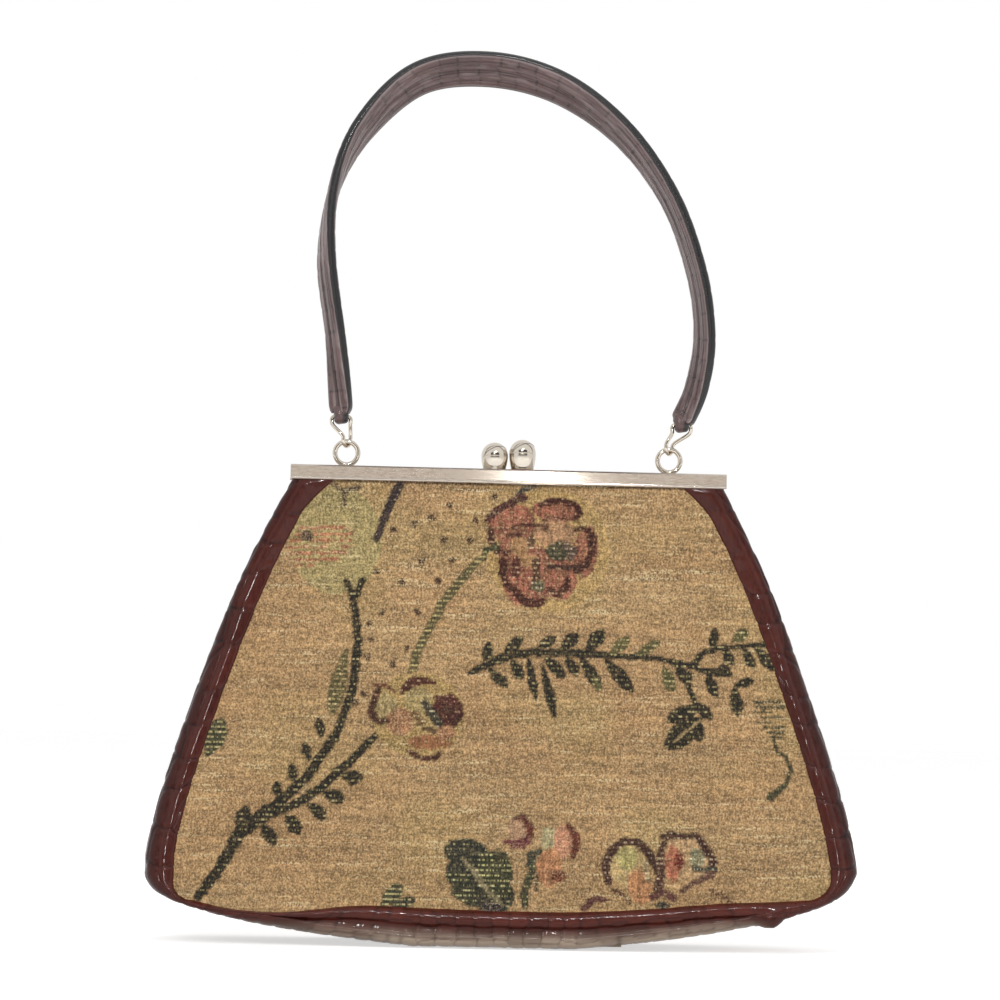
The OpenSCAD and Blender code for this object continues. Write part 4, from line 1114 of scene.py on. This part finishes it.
for label, side, lean, body in (("left", -1, 2.5, "left_link"), ("right", 1, 5.0, "right_link")):
    ring, foot = handle_ring("handle_ring_wire_" + label, side)
    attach(ring, "bag")
    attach(foot, "bag")
    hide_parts("handle_ring_" + label)
    wire = chain_link("chain_link_wire_" + label, side, lean)
    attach(wire, body)
    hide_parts("chain_link_" + label)

band = strap("strap_leather")
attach(band, "strap")
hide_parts("handle_strap")
for label, x in (("left", EYE_LEFT), ("right", EYE_RIGHT)):
    loop = strap_loop("strap_loop_" + label, x)
    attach(loop, "strap")

for node, body in (("clasp_ball_front", "front_frame"), ("clasp_ball_back", "bag")):
    for piece in (ball_seam(node + "_seam", node), ball_skirt(node + "_skirt", node)):
        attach(piece, body)

for name, material in (("frame_front", NICKEL), ("frame_back", NICKEL), ("hinge_rivet_left", NICKEL),
                       ("hinge_rivet_right", NICKEL), ("clasp_stem_front", POLISHED), ("clasp_stem_back", POLISHED),
                       ("clasp_ball_front", POLISHED), ("clasp_ball_back", POLISHED), ("base_board", BOARD)):
    mesh = nodes[name].data
    mesh.materials.clear()
    mesh.materials.append(material)
    if "clasp" in name:
        shade_smooth(mesh)

# Stage
WHITE = (1, 1, 1, 1)


def shown_ray(s):
    """1 for the rays that show the white background."""
    path = s.new("LightPath").outputs
    return s.most(s.most(path["Is Camera Ray"], path["Is Glossy Ray"]), path["Is Transmission Ray"])


def card(name, corners, values, seen=True):
    """A flat piece of the studio; one that isn't seen shows only in reflections."""
    s = new_material(name)
    mesh = bpy.data.meshes.new(name)
    mesh.from_pydata(corners, [], [(0, 1, 2, 3)])
    obj = link_object(name, mesh, s.finish(values), False)
    if not seen:
        obj.visible_camera = obj.visible_diffuse = obj.visible_shadow = False
    return s


def upright(x0, x1, y, z0, z1):
    return [(x0, y, z0), (x1, y, z0), (x1, y, z1), (x0, y, z1)]


def floor():
    s = card("floor", [(-6, -6, 0), (6, -6, 0), (6, 6, 0), (-6, 6, 0)],
             {"Base Color": (0.86, 0.86, 0.86, 1), "Roughness": 0.9, "Specular IOR Level": 0.1})
    plain = s.nodes["Principled BSDF"].outputs[0]
    glow = s.new("Emission", {"Color": WHITE, "Strength": 0.6}).outputs[0]
    lit = s.new("AddShader", {0: plain, 1: glow}).outputs[0]
    pick = s.new("MixShader", {0: shown_ray(s), 1: plain, 2: lit}).outputs[0]
    s.put(s.nodes["Material Output"].inputs, {"Surface": pick})


def world():
    bpy.context.scene.world = bpy.data.worlds.new("studio")
    s = Nodes(bpy.context.scene.world)
    light = s.nodes["Background"]
    s.put(light.inputs, {"Color": WHITE, "Strength": 0.42})
    white = s.new("Background", {"Color": WHITE, "Strength": 1.0})
    pick = s.new("MixShader", {0: shown_ray(s), 1: light.outputs[0], 2: white.outputs[0]}).outputs[0]
    s.put(s.nodes["World Output"].inputs, {"Surface": pick})


def area(name, place, target, size, power):
    data = bpy.data.lights.new(name, "AREA")
    data.shape, data.size, data.energy = "SQUARE", size, power
    obj = bpy.data.objects.new(name, data)
    bpy.context.scene.collection.objects.link(obj)
    obj.location = place
    aim(obj, target)
    return obj


def aim(obj, target):
    obj.rotation_euler = (Vector(target) - Vector(obj.location)).to_track_quat("-Z", "Y").to_euler()


floor()
# The dim side of the studio behind the camera, and a pale card over it for the frame's flat faces
card("studio_wall", upright(-2.6, 2.6, -3.4, 0.02, 2.1), {"Base Color": (0.2, 0.19, 0.18, 1), "Roughness": 1.0}, False)
card("bounce_card", upright(-0.9, 0.7, -1.95, 0.17, 0.42),
     {"Base Color": (0, 0, 0, 1), "Emission Color": (1.0, 0.95, 0.89, 1), "Emission Strength": 0.85}, False)
world()
area("key", (-0.75, -1.6, 1.2), (0, 0, 0.15), 1.0, 14.5).visible_glossy = False
area("fill", (1.1, -1.4, 0.7), (0, 0, 0.15), 1.0, 8).visible_glossy = False
area("flash", (0.131, -1.9, 0.276), (0, 0, 0.16), 0.03, 0.05)
area("glint", (0.17, -1.6, 1.2), (0, 0, 0.1), 0.08, 7.0).visible_diffuse = False
area("glint_low", (-0.165, -1.6, 0.72), (-0.1, 0, 0.05), 0.08, 5.0).visible_diffuse = False
area("rear", (0.5, 1.7, 1.1), (0, 0, 0.15), 1.2, 9.0).visible_glossy = False

data = bpy.data.cameras.new("camera")
camera = bpy.data.objects.new("camera", data)
bpy.context.scene.collection.objects.link(camera)
bpy.context.scene.camera = camera
camera.location = EYE * MM
data.sensor_width = 36
data.sensor_fit = "HORIZONTAL"
data.lens = 36 * FOCAL / PIXELS
aim(camera, AIM * MM)
camera.rotation_euler.rotate_axis("Z", ROLL)
bpy.context.scene.view_settings.view_transform = "Standard"
